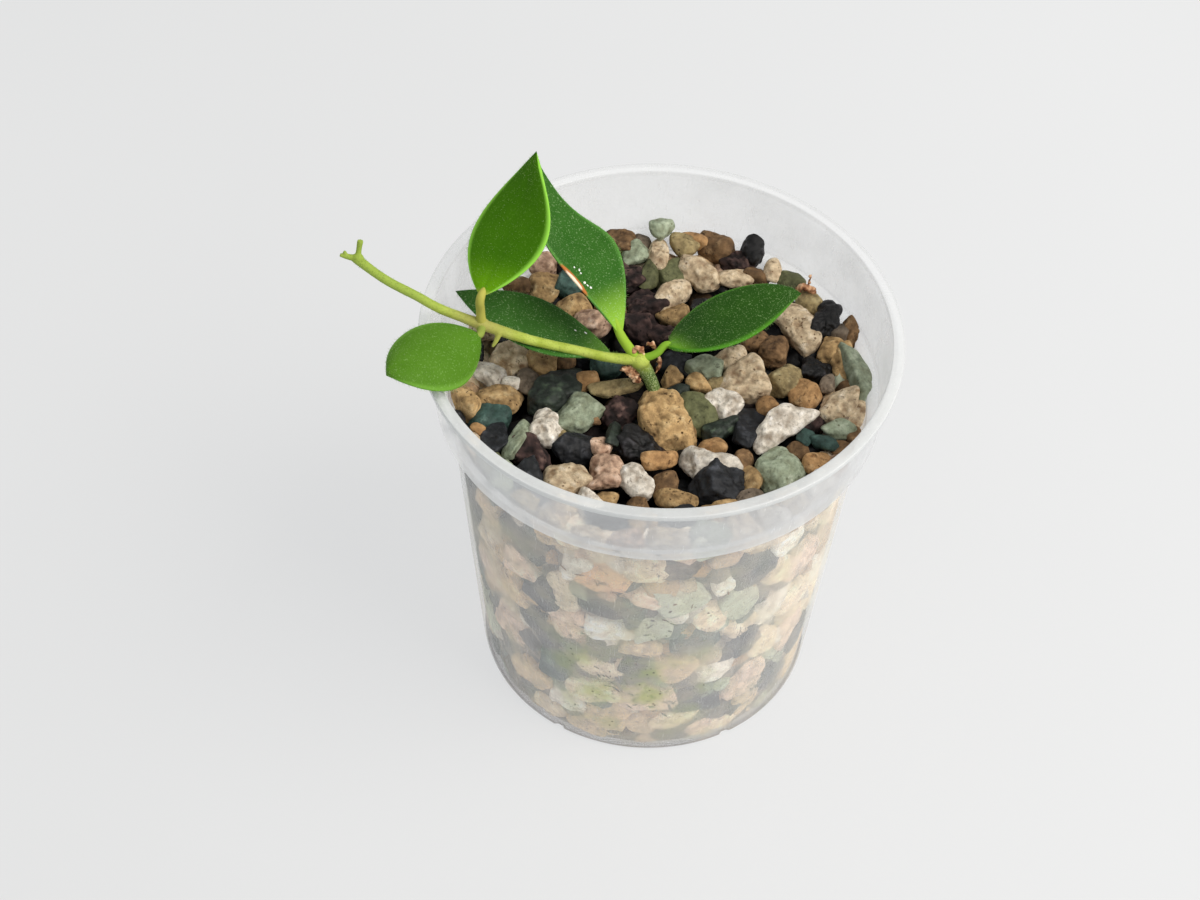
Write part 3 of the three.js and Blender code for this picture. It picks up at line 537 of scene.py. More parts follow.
# stones pressed against the wall that show through it: kind, angle round the pot in degrees (-90 is
# the front), how high the stone's middle lies, its width and its own height
wallStones = [
    ("cream", -115, 69, 7.5, 7), ("cream", -105, 68.5, 8, 7), ("white", -94, 70, 6, 5.5),
    ("cream", -84, 70, 8, 6.5), ("paleGreen", -74, 70, 7, 6.5), ("cream", -64, 69.5, 8, 7.5),
    ("rusty", -104, 59.5, 13, 12), ("slate", -103, 49.8, 10, 6.5), ("teal", -95, 48.6, 5, 7.5),
    ("white", -101, 41.3, 10.5, 7.5), ("greyBrown", -81, 63, 8.5, 7), ("cream", -91, 63.5, 9, 9),
    ("paleGreen", -82, 54, 9.5, 9.5), ("paleGreen", -89, 44, 7.5, 8), ("teal", -76, 38, 8, 7.5),
    ("cream", -73, 46.5, 8, 8.5), ("slate", -59, 58.5, 9.5, 12), ("white", -68, 56.5, 5.5, 7),
    ("orange", -70, 64, 5.5, 5.5), ("paleGreen", -63, 48.5, 8, 7.5), ("white", -50, 41, 9.5, 9),
    ("cream", -48, 51.5, 10, 9), ("pink", -92, 53.5, 7, 6.5), ("slate", -130, 59, 10, 8.5),
    ("pink", -133, 50.5, 8, 7), ("tan", -139, 40, 8, 8), ("slate", -126, 45, 7, 8),
    ("cream", -117, 48.5, 6, 10), ("pink", -117, 38, 9, 9.5), ("slate", -127, 33, 8, 10),
    ("olive", -104, 34.3, 8, 5.5), ("tan", -92, 36, 8, 6.5), ("slate", -91.5, 29.5, 8.5, 5.5),
    ("cream", -105, 27, 10, 8), ("white", -66, 25, 10, 9), ("slate", -73, 16.8, 10, 7.5),
    ("cream", -107, 18, 11, 8), ("pink", -89, 19.5, 10, 9), ("tan", -104, 9.5, 10, 8),
    ("white", -118, 11, 8, 9.5), ("cream", -77, 9.6, 10, 5.5), ("tan", -91, 9, 8.5, 8),
    ("slate", -80, 4.6, 8, 4.8), ("brown", -99, 4.4, 5.5, 4.6), ("pink", -70, 4.8, 6, 5.5),
    ("greyBrown", -64, 10, 6.5, 8), ("tan", -52, 7, 9, 9), ("slate", -42, 11, 9, 9),
    ("cream", -51, 29, 11, 11), ("slate", -58, 32, 6, 10), ("pink", -142, 24, 11, 11),
    ("tan", -133, 12.5, 10, 9.5), ("teal", -122, 23, 7, 9), ("cream", -61, 39, 8, 8.5),
    ("tan", -80, 28, 8.5, 8), ("white", -113, 60, 6, 9), ("pink", -52, 18, 9, 9),
    ("tan", -147, 60, 9, 8), ("white", -48, 62, 10, 9), ("tan", -121, 66, 7, 7),
    ("cream", -56, 68, 8, 8), ("cream", -150, 48, 10, 9), ("pink", -37, 50, 9, 9),
    ("tan", -111, 3.8, 9, 4.6), ("cream", -126, 4.6, 9, 5.6), ("cream", -60, 4, 8, 4.6),
]

gravel = {
    "level": 74.3,  # where the tops of most stones lie
    "flat": 0.8,  # height of a stone as a share of its width
    "swell": 0.56,  # half size of a lump of unit length, before its facets are cut
    "lean": 14,  # most that a stone leans, in degrees
    "facets": 11,  # facets drawn beside the six sides
    # sizes in millimetres of the swells, of the crags and the finer crags on them, of the pores and of
    # the porous patches, and the width from which a stone has them at full height
    "lumpSize": 4.2, "cragSize": 1.7, "fineSize": 0.8, "poreSpacing": 1.5, "poreReach": 0.34,
    "porousPatch": 3, "fullWidth": 7,
    "wallSeed": 5, "wallRows": 7, "wallPitch": 10.4, "wallStart": 5.8, "wallRise": 9.9, "wallStone": 10.6,
    "wallGap": 1.2,
    # painted light: the stones at the wall are drawn brighter and mixed with pale cream, for the light
    # that comes through the milky wall
    "wallPaintedLight": 0.32, "wallShade": 1.75, "wallDarkPaintedLight": 0.03, "wallDarkShade": 1.2, "wallSwell": 1.13,
    # small stones behind them, which show in the gaps, also drawn brighter as painted light
    "chip": 5.6, "chipRows": 13, "chipStart": 2.0, "chipRise": 5.6, "chipPitch": 5.8, "chipDeep": 0.5,
    "chipShade": 1.35,
    "fillShade": 0.3,  # painted shade: how much darker the stones a layer down are drawn
    "fillRings": 6, "fillStart": 3, "fillPitch": 6.6, "fillApart": 6.4, "fillReach": 32.5,
    "fillStone": 7.0, "fillHeight": 67.6,
    "floorRings": 4, "floorStart": 2, "floorPitch": 8.4, "floorApart": 8.2, "floorStone": 8.5,
    "gap": 0.15,  # kept between a stone and the pot
}
# dark kinds for the stones a layer down, part of the painted shade in the gaps
fillKinds = ["slate", "blackLava", "lava", "slate", "blackLava", "brown"]
sideKinds = ["cream", "tan", "pink", "white", "slate", "paleGreen", "cream", "greyBrown", "tan", "teal",
             "orange", "pink", "slate", "cream", "white"]


# what each point of a stone carries: its stone's own tint, a factor of painted light and shade on its
# brightness, how much painted pale light is mixed in and how hollow it lies
stoneMarks = ("tint", "shade", "film", "hollow")


def makeStoneMaterial(kind):
    # a broken mineral: mottled at 3 mm, grained at 0.5 mm, stained and pitted, with painted shade where it
    # is hollow and worn pale where it stands out; its brightness carries painted light and shade, and a
    # painted pale light is mixed in
    look = stoneKinds[kind]
    material = newMaterial("stone" + kind[0].upper() + kind[1:])
    coords = addNode(material, "TexCoord")
    tint, shade, film, hollow = [
        addNode(material, "Attribute", {"attribute_name": name}) for name in stoneMarks
    ]
    shift = addNode(material, "Math", {"operation": "MULTIPLY", 1: 40.0}, {0: tint.outputs["Fac"]})
    place = {"Vector": coords.outputs["Object"], "W": shift.outputs[0]}
    mottle, grain, stains = [
        addNode(material, "TexNoise",
                {"noise_dimensions": "4D", "Scale": perMm(size), "Detail": detail, "Roughness": rough,
                 "Distortion": bend}, place)
        for size, detail, rough, bend in ((3.4, 8.0, 0.66, 0), (0.6, 4.0, 0.75, 0), (1.3, 6.0, 0.75, 0.5))
    ]
    pits = addNode(material, "TexVoronoi",
                   {"voronoi_dimensions": "4D", "Scale": perMm(1.4), "Randomness": 1.0}, place)
    ground = addNode(material, "ValToRGB",
                     {"stops": [(0.3, look["dark"]), (0.44, look["main"]), (0.58, look["main"]),
                                (0.72, look["light"])]},
                     {"Fac": mottle.outputs["Fac"]})
    worn = addNode(material, "MapRange", {"range": (0.5, 0.2, 0.0, 0.6)}, {"Value": hollow.outputs["Fac"]})
    ground = addNode(material, "Mix", {"data_type": "RGBA", 7: hexColour(look["light"])},
                     {0: worn.outputs["Result"], 6: ground.outputs[0]})
    grainShade = addNode(material, "MapRange", {"range": (0.34, 0.6, 0.66, 1.1)},
                         {"Value": grain.outputs["Fac"]})
    stainShare = addNode(material, "MapRange", {"range": (0.58, 0.63, 0.0, look["stains"])},
                         {"Value": stains.outputs["Fac"]})
    pitShare = addNode(material, "MapRange", {"range": (0.2, 0.12, 0.0, look["stains"])},
                       {"Value": pits.outputs["Distance"]})
    stainsPitsAndShade = addNode(material, "Math", {"operation": "MAXIMUM"},
                    {0: stainShare.outputs["Result"], 1: pitShare.outputs["Result"]})
    # painted shade: where the stone is hollow it is drawn toward its dark stain colour
    paintedHollowShade = addNode(material, "MapRange", {"range": (0.52, 0.95, 0.0, 0.85)}, {"Value": hollow.outputs["Fac"]})
    stainsPitsAndShade = addNode(material, "Math", {"operation": "MAXIMUM"},
                    {0: stainsPitsAndShade.outputs[0], 1: paintedHollowShade.outputs["Result"]})
    ground = addNode(material, "Mix", {"data_type": "RGBA", 7: hexColour(look["stainAndShade"])},
                     {0: stainsPitsAndShade.outputs[0], 6: ground.outputs[2]})
    bright = addNode(material, "MapRange", {"range": (0, 1, 0.76, 1.06)}, {"Value": tint.outputs["Fac"]})
    lit = addNode(material, "Math", {"operation": "MULTIPLY"},
                  {0: bright.outputs["Result"], 1: grainShade.outputs["Result"]})
    # the stone's factor of painted light and shade scales its brightness
    whole = addNode(material, "Math", {"operation": "MULTIPLY"}, {0: lit.outputs[0], 1: shade.outputs["Fac"]})
    ground = addNode(material, "HueSaturation", {}, {"Color": ground.outputs[2], "Value": whole.outputs[0]})
    # painted light: pale cream mixed in as far as the stone's painted pale light says
    ground = addNode(material, "Mix", {"data_type": "RGBA", "clamp_result": True, 7: hexColour("#fff2de")},
                     {0: film.outputs["Fac"], 6: ground.outputs[0]})
    relief = addNode(material, "Math", {"operation": "SUBTRACT"},
                     {0: grain.outputs["Fac"], 1: stainsPitsAndShade.outputs[0]})
    bump = addNode(material, "Bump", {"Strength": 0.8, "Distance": 0.22 * mm}, {"Height": relief.outputs[0]})
    surface = addNode(material, "BsdfPrincipled",
                      {"Roughness": look["rough"], "IOR": 1.5, "Specular IOR Level": 0.3},
                      {"Base Color": ground.outputs[2], "Normal": bump.outputs["Normal"]})
    addNode(material, "OutputMaterial", {}, {"Surface": surface.outputs[0]})
    return material


def randomWay():
    return Vector((draw.gauss(0, 1), draw.gauss(0, 1), draw.gauss(0, 1))).normalized()


def addStone(shape, kind, place, size, turn, lean, fineness, shade=1.0, film=0.0):
    # a lump bounded by soft facets, then roughened with crags and pores and laid in place
    form = stoneKinds[kind]
    made = bmesh.ops.create_icosphere(shape, subdivisions=fineness, radius=1)["verts"]
    sides = [Vector(way) for way in ((1, 0, 0), (-1, 0, 0), (0, 1, 0), (0, -1, 0), (0, 0, 1), (0, 0, -1))]
    ways = [(side + 0.35 * randomWay()).normalized() for side in sides]
    ways += [randomWay() for _ in range(gravel["facets"])]
    planes = numpy.array([way / draw.uniform(0.78, 1.04) for way in ways])
    crisp = form["edge"]
    seed = 40 * randomWay()
    laid = (
        Matrix.Translation(place)
        @ Matrix.Rotation(math.radians(turn), 4, "Z")
        @ Matrix.Rotation(math.radians(lean[0]), 4, "X")
        @ Matrix.Rotation(math.radians(lean[1]), 4, "Y")
        @ Matrix.Diagonal((*(gravel["swell"] * side for side in size), 1))
    )
    scale = min(1, size[1] / gravel["fullWidth"])  # small stones have smaller swells and crags
    layers = [shape.verts.layers.float[name] for name in stoneMarks]
    tint = draw.random()
    ballWays = numpy.array([vert.co for vert in made])
    reaches = (numpy.clip(ballWays @ planes.T, 0, None) ** crisp).sum(axis=1) ** (-1 / crisp)
    for vert, reach in zip(made, reaches):
        spot = laid @ (vert.co * float(reach))
        grit = spot + seed
        swell = form["lump"] * noise.noise(grit / gravel["lumpSize"])
        coarse, fine = noise.noise(grit / gravel["cragSize"]), noise.noise(grit / gravel["fineSize"])
        ridge = form["crag"] * (coarse + 0.5 * fine - 0.15)
        near = noise.voronoi(grit / gravel["poreSpacing"])[0][0]
        porous = max(0, noise.noise(grit / gravel["porousPatch"] + seed) + 0.45)
        pore = form["pore"] * max(0, 1 - near / gravel["poreReach"]) * porous
        outward = (spot - place).normalized()
        spot += outward * scale * (swell + ridge - pore)
        spot.z = max(spot.z, pot["floor"] + gravel["gap"])
        radius = math.hypot(spot.x, spot.y)
        most = potInside(spot.z - 1.2 if spot.z > pot["bodyTopHeight"] else spot.z) - gravel["gap"]
        if radius > most:
            spot.x *= most / radius
            spot.y *= most / radius
        vert.co = spot
        hollow = min(1, max(0, 0.5 + 1.1 * (pore - ridge) + 0.15 * form["crag"]))
        for layer, value in zip(layers, (tint, shade, film, hollow)):
            vert[layer] = value


def randomLean():
    return (draw.uniform(-1, 1) * gravel["lean"], draw.uniform(-1, 1) * gravel["lean"])


def makeGravel():
    shapes = {}
    for kind in stoneKinds:
        shapes[kind] = bmesh.new()
        for name in stoneMarks:
            shapes[kind].verts.layers.float.new(name)
    for kind, x, y, length, width, turn, lift in topStones:
        height = gravel["flat"] * width
        place = Vector((x, y, gravel["level"] + lift - 0.5 * height))
        fineness = 5 if length > 6 else 4
        addStone(shapes[kind], kind, place, (length, width, height), turn, randomLean(), fineness)
    for kind, angle, height, width, tall in wallStones:
        addWallStone(shapes[kind], kind, math.radians(angle), height, width, tall, 4)
    for angle, height, width, tall in sideStones():
        kind = draw.choice(sideKinds)
        addWallStone(shapes[kind], kind, angle, height, width, tall, 3)
    fillTop(shapes)
    fillFloor(shapes)
    fillWall(shapes)
    for kind, shape in shapes.items():
        name = "stones" + kind[0].upper() + kind[1:]
        finishPiece(name, shape, makeStoneMaterial(kind), ["gravel"])


def addWallStone(shape, kind, angle, height, width, tall, fineness):
    width, tall = gravel["wallSwell"] * width, gravel["wallSwell"] * tall
    deep = 0.8 * min(width, tall)
    # painted light: stones at the wall are drawn brighter and paler, the dark kinds less so
    dark = kind in ("slate", "teal", "greyBrown", "olive", "brown")
    shade = gravel["wallDarkShade" if dark else "wallShade"]
    film = gravel["wallDarkPaintedLight" if dark else "wallPaintedLight"]
    radius = potInside(height) - 0.42 * deep
    place = Vector((radius * math.cos(angle), radius * math.sin(angle), height))
    turn = math.degrees(angle) + 90
    lean = (0, draw.uniform(-12, 12))
    addStone(shape, kind, place, (width, deep, tall), turn, lean, fineness, shade, film)


def seeded(state):
    # the solid's own small generator, so that these stones lie where the solid's do
    while True:
        state = (state * 1664525 + 1013904223) % 2 ** 32
        yield state / 2 ** 32


def sideStones():
    # rows of stones against the wall, left out where a chosen one lies
    spread = seeded(gravel["wallSeed"])
    stones = []
    for row in range(gravel["wallRows"]):
        height = gravel["wallStart"] + row * gravel["wallRise"]
        around = round(math.tau * potInside(height) / gravel["wallPitch"])
        for i in range(around):
            angle = math.tau * (i + 0.5 * (row % 2) + 0.3 * (next(spread) - 0.5)) / around
            level = height + 2.4 * (next(spread) - 0.5)
            width = gravel["wallStone"] * (0.85 + 0.35 * next(spread))
            tall = gravel["wallStone"] * (0.8 + 0.3 * next(spread))
            if all(apart(angle, level, width, tall, other) for other in wallStones):
                stones.append((angle, level, width, tall))
    return stones


def apart(angle, level, width, tall, other):
    turn = (angle - math.radians(other[1]) + math.pi) % math.tau - math.pi
    across = potInside(level) * turn / (0.5 * other[3] + 0.25 * width + gravel["wallGap"])
    upward = (level - other[2]) / (0.5 * other[4] + 0.25 * tall + gravel["wallGap"])
    return math.hypot(across, upward) > 1


def fillTop(shapes):
    # stones a layer down, of dark kinds and drawn darker still as painted shade, which show in the gaps
    for ring in range(gravel["fillRings"]):
        radius = gravel["fillStart"] + ring * gravel["fillPitch"]
        around = max(4, round(math.tau * radius / gravel["fillApart"]))
        for i in range(around):
            angle = math.tau * (i + draw.uniform(-0.3, 0.3)) / around
            reach = min(radius, gravel["fillReach"]) + draw.uniform(-1, 1)
            size = gravel["fillStone"] * draw.uniform(0.85, 1.2)
            place = Vector((reach * math.cos(angle), reach * math.sin(angle),
                            gravel["fillHeight"] + draw.uniform(-1, 1.2)))
            kind = draw.choice(fillKinds)
            addStone(shapes[kind], kind, place, (size, 0.85 * size, 0.7 * size), draw.uniform(0, 180),
                     randomLean(), 3, gravel["fillShade"])


def fillFloor(shapes):
    # stones on the pot's floor, seen from below and through the drain holes
    for ring in range(gravel["floorRings"]):
        radius = gravel["floorStart"] + ring * gravel["floorPitch"]
        around = max(3, round(math.tau * radius / gravel["floorApart"]))
        for i in range(around):
            angle = math.tau * (i + draw.uniform(-0.2, 0.2)) / around
            size = gravel["floorStone"] * draw.uniform(0.85, 1.15)
            place = Vector((radius * math.cos(angle), radius * math.sin(angle), pot["floor"] + 0.34 * size))
            kind = draw.choice(sideKinds)
            addStone(shapes[kind], kind, place, (size, 0.9 * size, 0.8 * size), draw.uniform(0, 180),
                     randomLean(), 2)


def fillWall(shapes):
    # small stones behind those at the wall, which show in the gaps, drawn brighter and paler as painted light
    for row in range(gravel["chipRows"]):
        height = gravel["chipStart"] + row * gravel["chipRise"]
        around = round(math.tau * potInside(height) / gravel["chipPitch"])
        for i in range(around):
            angle = math.tau * (i + 0.5 * (row % 2) + draw.uniform(-0.25, 0.25)) / around
            level = height + draw.uniform(-0.8, 0.8)
            size = gravel["chip"] * draw.uniform(0.8, 1.3)
            radius = potInside(level) - 0.42 * size - gravel["chipDeep"]
            place = Vector((radius * math.cos(angle), radius * math.sin(angle), level))
            kind = draw.choice(sideKinds)
            addStone(shapes[kind], kind, place, (size, 0.84 * size, 0.9 * size), math.degrees(angle) + 90,
                     randomLean(), 2, gravel["chipShade"], 0.5 * gravel["wallPaintedLight"])


core = {
    "low": 0.85, "high": 66.5, "gapBelow": 0.4, "gapAbove": 2.4,
    "topShadeFrom": 64, "topShadeTo": 66.4,  # heights between which the dust turns dark: painted shade in the gaps under the top stones
}


def makeCore():
    # fills the middle of the pot. Gravel dust: dull grit, pale at the wall, and dark on top as painted shade
    material = newMaterial("gravelDustAndShade")
    coords = addNode(material, "TexCoord")
    grit = addNode(material, "TexNoise", {"Scale": perMm(2.5), "Detail": 4.0},
                   {"Vector": coords.outputs["Object"]})
    shade = addNode(material, "ValToRGB", {"stops": [(0.35, "#6b665f"), (0.65, "#b5a792")]},
                    {"Fac": grit.outputs["Fac"]})
    split = addNode(material, "SeparateXYZ", {}, {0: coords.outputs["Object"]})
    paintedTopShade = addNode(material, "MapRange", {"range": (core["topShadeFrom"] * mm, core["topShadeTo"] * mm)},
                   {"Value": split.outputs["Z"]})
    # painted shade: the top of the dust drawn near black
    shade = addNode(material, "Mix", {"data_type": "RGBA", 7: hexColour("#15110e")},
                    {0: paintedTopShade.outputs["Result"], 6: shade.outputs[0]})
    surface = addNode(material, "BsdfPrincipled", {"Roughness": 0.95}, {"Base Color": shade.outputs[2]})
    addNode(material, "OutputMaterial", {}, {"Surface": surface.outputs[0]})
    low, high = core["low"], core["high"]
    shape = bmesh.new()
    bmesh.ops.create_cone(shape, cap_ends=True, segments=72, radius1=potInside(low) - core["gapBelow"],
                          radius2=potInside(high) - core["gapAbove"], depth=high - low,
                          matrix=Matrix.Translation((0, 0, 0.5 * (low + high))))
    finishPiece("gravelCore", shape, material, ["gravel"])


# dried algae and rust specks stuck to the inside of the wall: how many, round which angle and height,
# how far they spread along the wall and up it
flecks = {
    "clusters": [(26, -104, 26, 11, 5), (20, -90, 19, 10, 6), (9, -106, 57, 5, 3), (22, -84, 46, 7, 6),
                 (12, -128, 44, 7, 9), (10, -72, 34, 6, 5), (10, -112, 37, 5, 4), (70, 90, 32, 100, 26)],
    "long": (0.16, 1.25), "wide": 0.2, "thick": 0.06, "lowest": 2.5, "highest": 68,
    "rustyFrom": 50, "rustyTo": 54,  # heights between which they turn rusty
}


def makeFlecks():
    # dried algae: black and olive dabs, rusty brown on the stone near the collar
    material = newMaterial("driedAlgae")
    coords = addNode(material, "TexCoord")
    patches = addNode(material, "TexNoise", {"Scale": perMm(2), "Detail": 2.0},
                      {"Vector": coords.outputs["Object"]})
    tone = addNode(material, "ValToRGB", {"stops": [(0.4, "#5f3c16"), (0.48, "#14130b"), (0.56, "#4d5a12")]},
                   {"Fac": patches.outputs["Fac"]})
    split = addNode(material, "SeparateXYZ", {}, {0: coords.outputs["Object"]})
    rusty = addNode(material, "MapRange",
                    {"range": (flecks["rustyFrom"] * mm, flecks["rustyTo"] * mm, 0, 0.85)},
                    {"Value": split.outputs["Z"]})
    tone = addNode(material, "Mix", {"data_type": "RGBA", 7: hexColour("#8a5418")},
                   {0: rusty.outputs["Result"], 6: tone.outputs[0]})
    surface = addNode(material, "BsdfPrincipled", {"Roughness": 0.9}, {"Base Color": tone.outputs[2]})
    addNode(material, "OutputMaterial", {}, {"Surface": surface.outputs[0]})
    shape = bmesh.new()
    for count, angle, height, across, upward in flecks["clusters"]:
        for _ in range(count):
            level = min(flecks["highest"], max(flecks["lowest"], draw.gauss(height, 0.6 * upward)))
            radius = potInside(level) - 1.2 * flecks["thick"]
            turn = math.radians(angle) + draw.gauss(0, 0.6 * across) / radius
            place = (Matrix.Rotation(turn, 4, "Z") @ Matrix.Translation((radius, 0, level))
                     @ Matrix.Rotation(math.radians(draw.gauss(70, 50)), 4, "X"))
            short, long = flecks["long"]
            wide = flecks["wide"] * draw.uniform(0.6, 1.5)
            size = (flecks["thick"], wide, short + (long - short) * draw.random() ** 2)
            bmesh.ops.create_icosphere(shape, subdivisions=1, radius=1,
                                       matrix=place @ Matrix.Diagonal((*size, 1)))
    finishPiece("wallFlecks", shape, material, ["pot"])


makeGravel()
makeCore()
makeFlecks()
print("gravel made:", len(topStones), "stones chosen on top,", len(wallStones), "at the wall")


# the shoot: points and radii of its parts in millimetres
stem = {
    "stub": [(-0.5, -2.7, 56), (-0.5, -2.7, 72.5), (-2.1, -2.3, 78), (-4.1, -2.2, 82)],
    "stubRadii": [1.2, 1.2, 1.35, 1.6],
    "vine": [(-4.1, -2.2, 82), (-9.3, -2.4, 82.5), (-14.3, -2, 83.4), (-24.3, -1.9, 86), (-33.2, -1.6, 89.3)],
    "vineRadii": [1.2, 0.95, 0.92, 0.95, 1.1],
    "run": [(-33.2, -1.6, 89.3), (-37.2, -1, 90.6), (-41.1, -0.8, 92.4), (-45, -0.7, 95.2),
            (-50.8, -0.7, 99.4), (-54.6, -0.5, 103), (-55.5, -0.5, 104)],
    "runRadii": [1.1, 0.92, 0.9, 0.88, 0.85, 0.9, 0.95],
    "prong": [(-55.4, -0.4, 104), (-55.2, 0.4, 105.5), (-54.9, 0.9, 107.3)],
    "prongRadii": [0.6, 0.5, 0.58],
    "nub": [(-55.4, -0.4, 104), (-57.1, -0.3, 104.3), (-58.6, -0.3, 104.7)],
    "nubRadii": [0.7, 0.55, 0.35],
    "bump": [(-57.4, -0.3, 104.3), (-57.8, 0, 105.4)],
    "bumpRadii": [0.45, 0.3],
    "root": [(-29.9, -2.2, 88.2), (-30.4, -3.1, 87), (-31.1, -3.7, 85.7)],
    "rootRadii": [0.7, 0.5, 0.28],
    # the swollen nodes: place, half sizes
    "nodes": [((-3.8, -2.2, 81.7), (1.9, 1.7, 1.7)), ((-33.2, -1.6, 89.3), (1.5, 1.4, 1.35)),
              ((-55.4, -0.4, 104), (1.15, 1.0, 1.05))],
    "voxel": 0.13,
    # heights up to which the shoot is old, from which it is young, and between which its tip turns green
    "oldTo": 79, "youngFrom": 83, "tipFrom": 91, "tipTo": 96,
}

leaves = {
    "leaf_1": {
        "curve": [(-9, -0.9, 81.3), (-17, 3.2, 79), (-28.5, 4, 87), (-39, 11, 85)],
        "petiole": [(-4.1, -2.2, 82), (-6.8, -1.2, 81.4), (-9, -0.9, 81.3)],
        "roll": (27, -9), "halfWidth": 7.3, "cup": 0.1, "petioleRadius": 0.8,
        "main": "#2f5a1f", "light": "#47742f", "edge": "#3c6c2a", "base": "#6b9a36",
        "pale": "#a5c08f", "fuzz": 1.0, "stalk": "#93a646",
    },
    "leaf_2": {
        "curve": [(-7.4, 0, 85.8), (-15.4, 13.4, 100), (-21, 14.5, 90), (-24, 26.7, 104)],
        "petiole": [(-4.1, -2.2, 82), (-6.1, -0.8, 84), (-7.4, 0, 85.8)],
        "roll": (18, 33), "halfWidth": 8.2, "cup": 0.3, "petioleRadius": 0.95, "baseReach": 0.22,
        "main": "#2c5c19", "light": "#42712b", "edge": "#54893a", "base": "#8fbe3e",
        "pale": "#a9c790", "fuzz": 0.9, "stalk": "#93b63a",
        "scar": {"along": 0.27, "length": 0.1, "depth": 0.12},
    },
    "leaf_3": {
        "curve": [(1.3, -0.4, 84.5), (3, -1.8, 83.5), (18.6, 11.9, 88), (26.6, 14.6, 84)],
        "petiole": [(-4.1, -2.2, 82), (-0.8, -1.6, 83.2), (1.3, -0.4, 84.5)],
        "roll": (-36, 18), "halfWidth": 7, "cup": -0.05, "petioleRadius": 0.75,
        "main": "#21450f", "light": "#345c1b", "edge": "#46801f", "base": "#72a82c",
        "pale": "#93b278", "fuzz": 0.9, "stalk": "#7ea832",
    },
    "leaf_4": {
        "curve": [(-33.3, -1, 96), (-30, 8, 99.3), (-25.3, 17.2, 102.2), (-24.2, 20, 113)],
        "petiole": [(-33.2, -1.6, 89.3), (-33.4, -1.2, 92.5), (-33.3, -1, 96)],
        "roll": (-6, -25), "halfWidth": 8, "cup": 0, "petioleRadius": 0.85,
        "main": "#366602", "light": "#467808", "edge": "#8ccb48", "base": "#5f9408",
        "pale": "#93bf58", "fuzz": 0.4, "stalk": "#b0ac52",
    },
    "leaf_5": {
        "curve": [(-33.4, -4.6, 89.8), (-35.5, -10, 92.5), (-47.5, -19.5, 97.5), (-49.0, -20.2, 94.8)],
        "petiole": [(-33.2, -1.6, 89.3), (-33.2, -3, 89.4), (-33.4, -4.6, 89.8)],
        "roll": (-34, 3), "halfWidth": 7.1, "cup": -0.3, "petioleRadius": 0.8,
        "main": "#4b771b", "light": "#5c882b", "edge": "#699a36", "base": "#4f7e1c",
        "pale": "#a3c97c", "fuzz": 0.6, "stalk": "#8c9c48",
    },
}
# the blade: its thickness and how fast that is reached from both ends, how blunt its edge is, where it
# is widest, and how deep and how narrow the groove of the midrib is
blade = {"thick": 1.3, "taper": 4, "edge": 0.72, "fullest": 0.87, "around": 56, "along": 64, "groove": 0.1,
         "grooveNarrow": 7}


def bezierPoint(points, t):
    p0, p1, p2, p3 = points
    s = 1 - t
    return s ** 3 * p0 + 3 * s * s * t * p1 + 3 * s * t * t * p2 + t ** 3 * p3


def bezierWay(points, t):
    p0, p1, p2, p3 = points
    s = 1 - t
    return (s * s * (p1 - p0) + 2 * s * t * (p2 - p1) + t * t * (p3 - p2)).normalized()


def bladePlace(leaf, along, across, through):
    # a point of the blade: along from base to tip, across -1 to 1, through -1 under to 1 on top
    points = [Vector(point) for point in leaf["curve"]]
    chord = (points[3] - points[0]).normalized()
    up = (Vector((0, 0, 1)) - chord * chord.z).normalized()
    aside = chord.cross(up)
    way = bezierWay(points, along)
    turn = math.radians(leaf["roll"][0] + (leaf["roll"][1] - leaf["roll"][0]) * along)
    face = up * math.cos(turn) + aside * math.sin(turn)
    side = way.cross(face).normalized()
    face = side.cross(way)
    width = leaf["halfWidth"] * math.sin(math.pi * along ** blade["fullest"]) if 0 < along < 1 else 0
    taper = min(1, blade["taper"] * math.sin(math.pi * along))
    half = 0.5 * blade["thick"] * taper
    skin = math.copysign(abs(through) ** blade["edge"], through)
    midrib = blade["groove"] * math.exp(-(across * blade["grooveNarrow"]) ** 2) if through > 0 else 0
    cupped = leaf["cup"] * width * across * across
    lift = cupped + half * skin - midrib * taper
    return bezierPoint(points, along) + side * width * across + face * lift


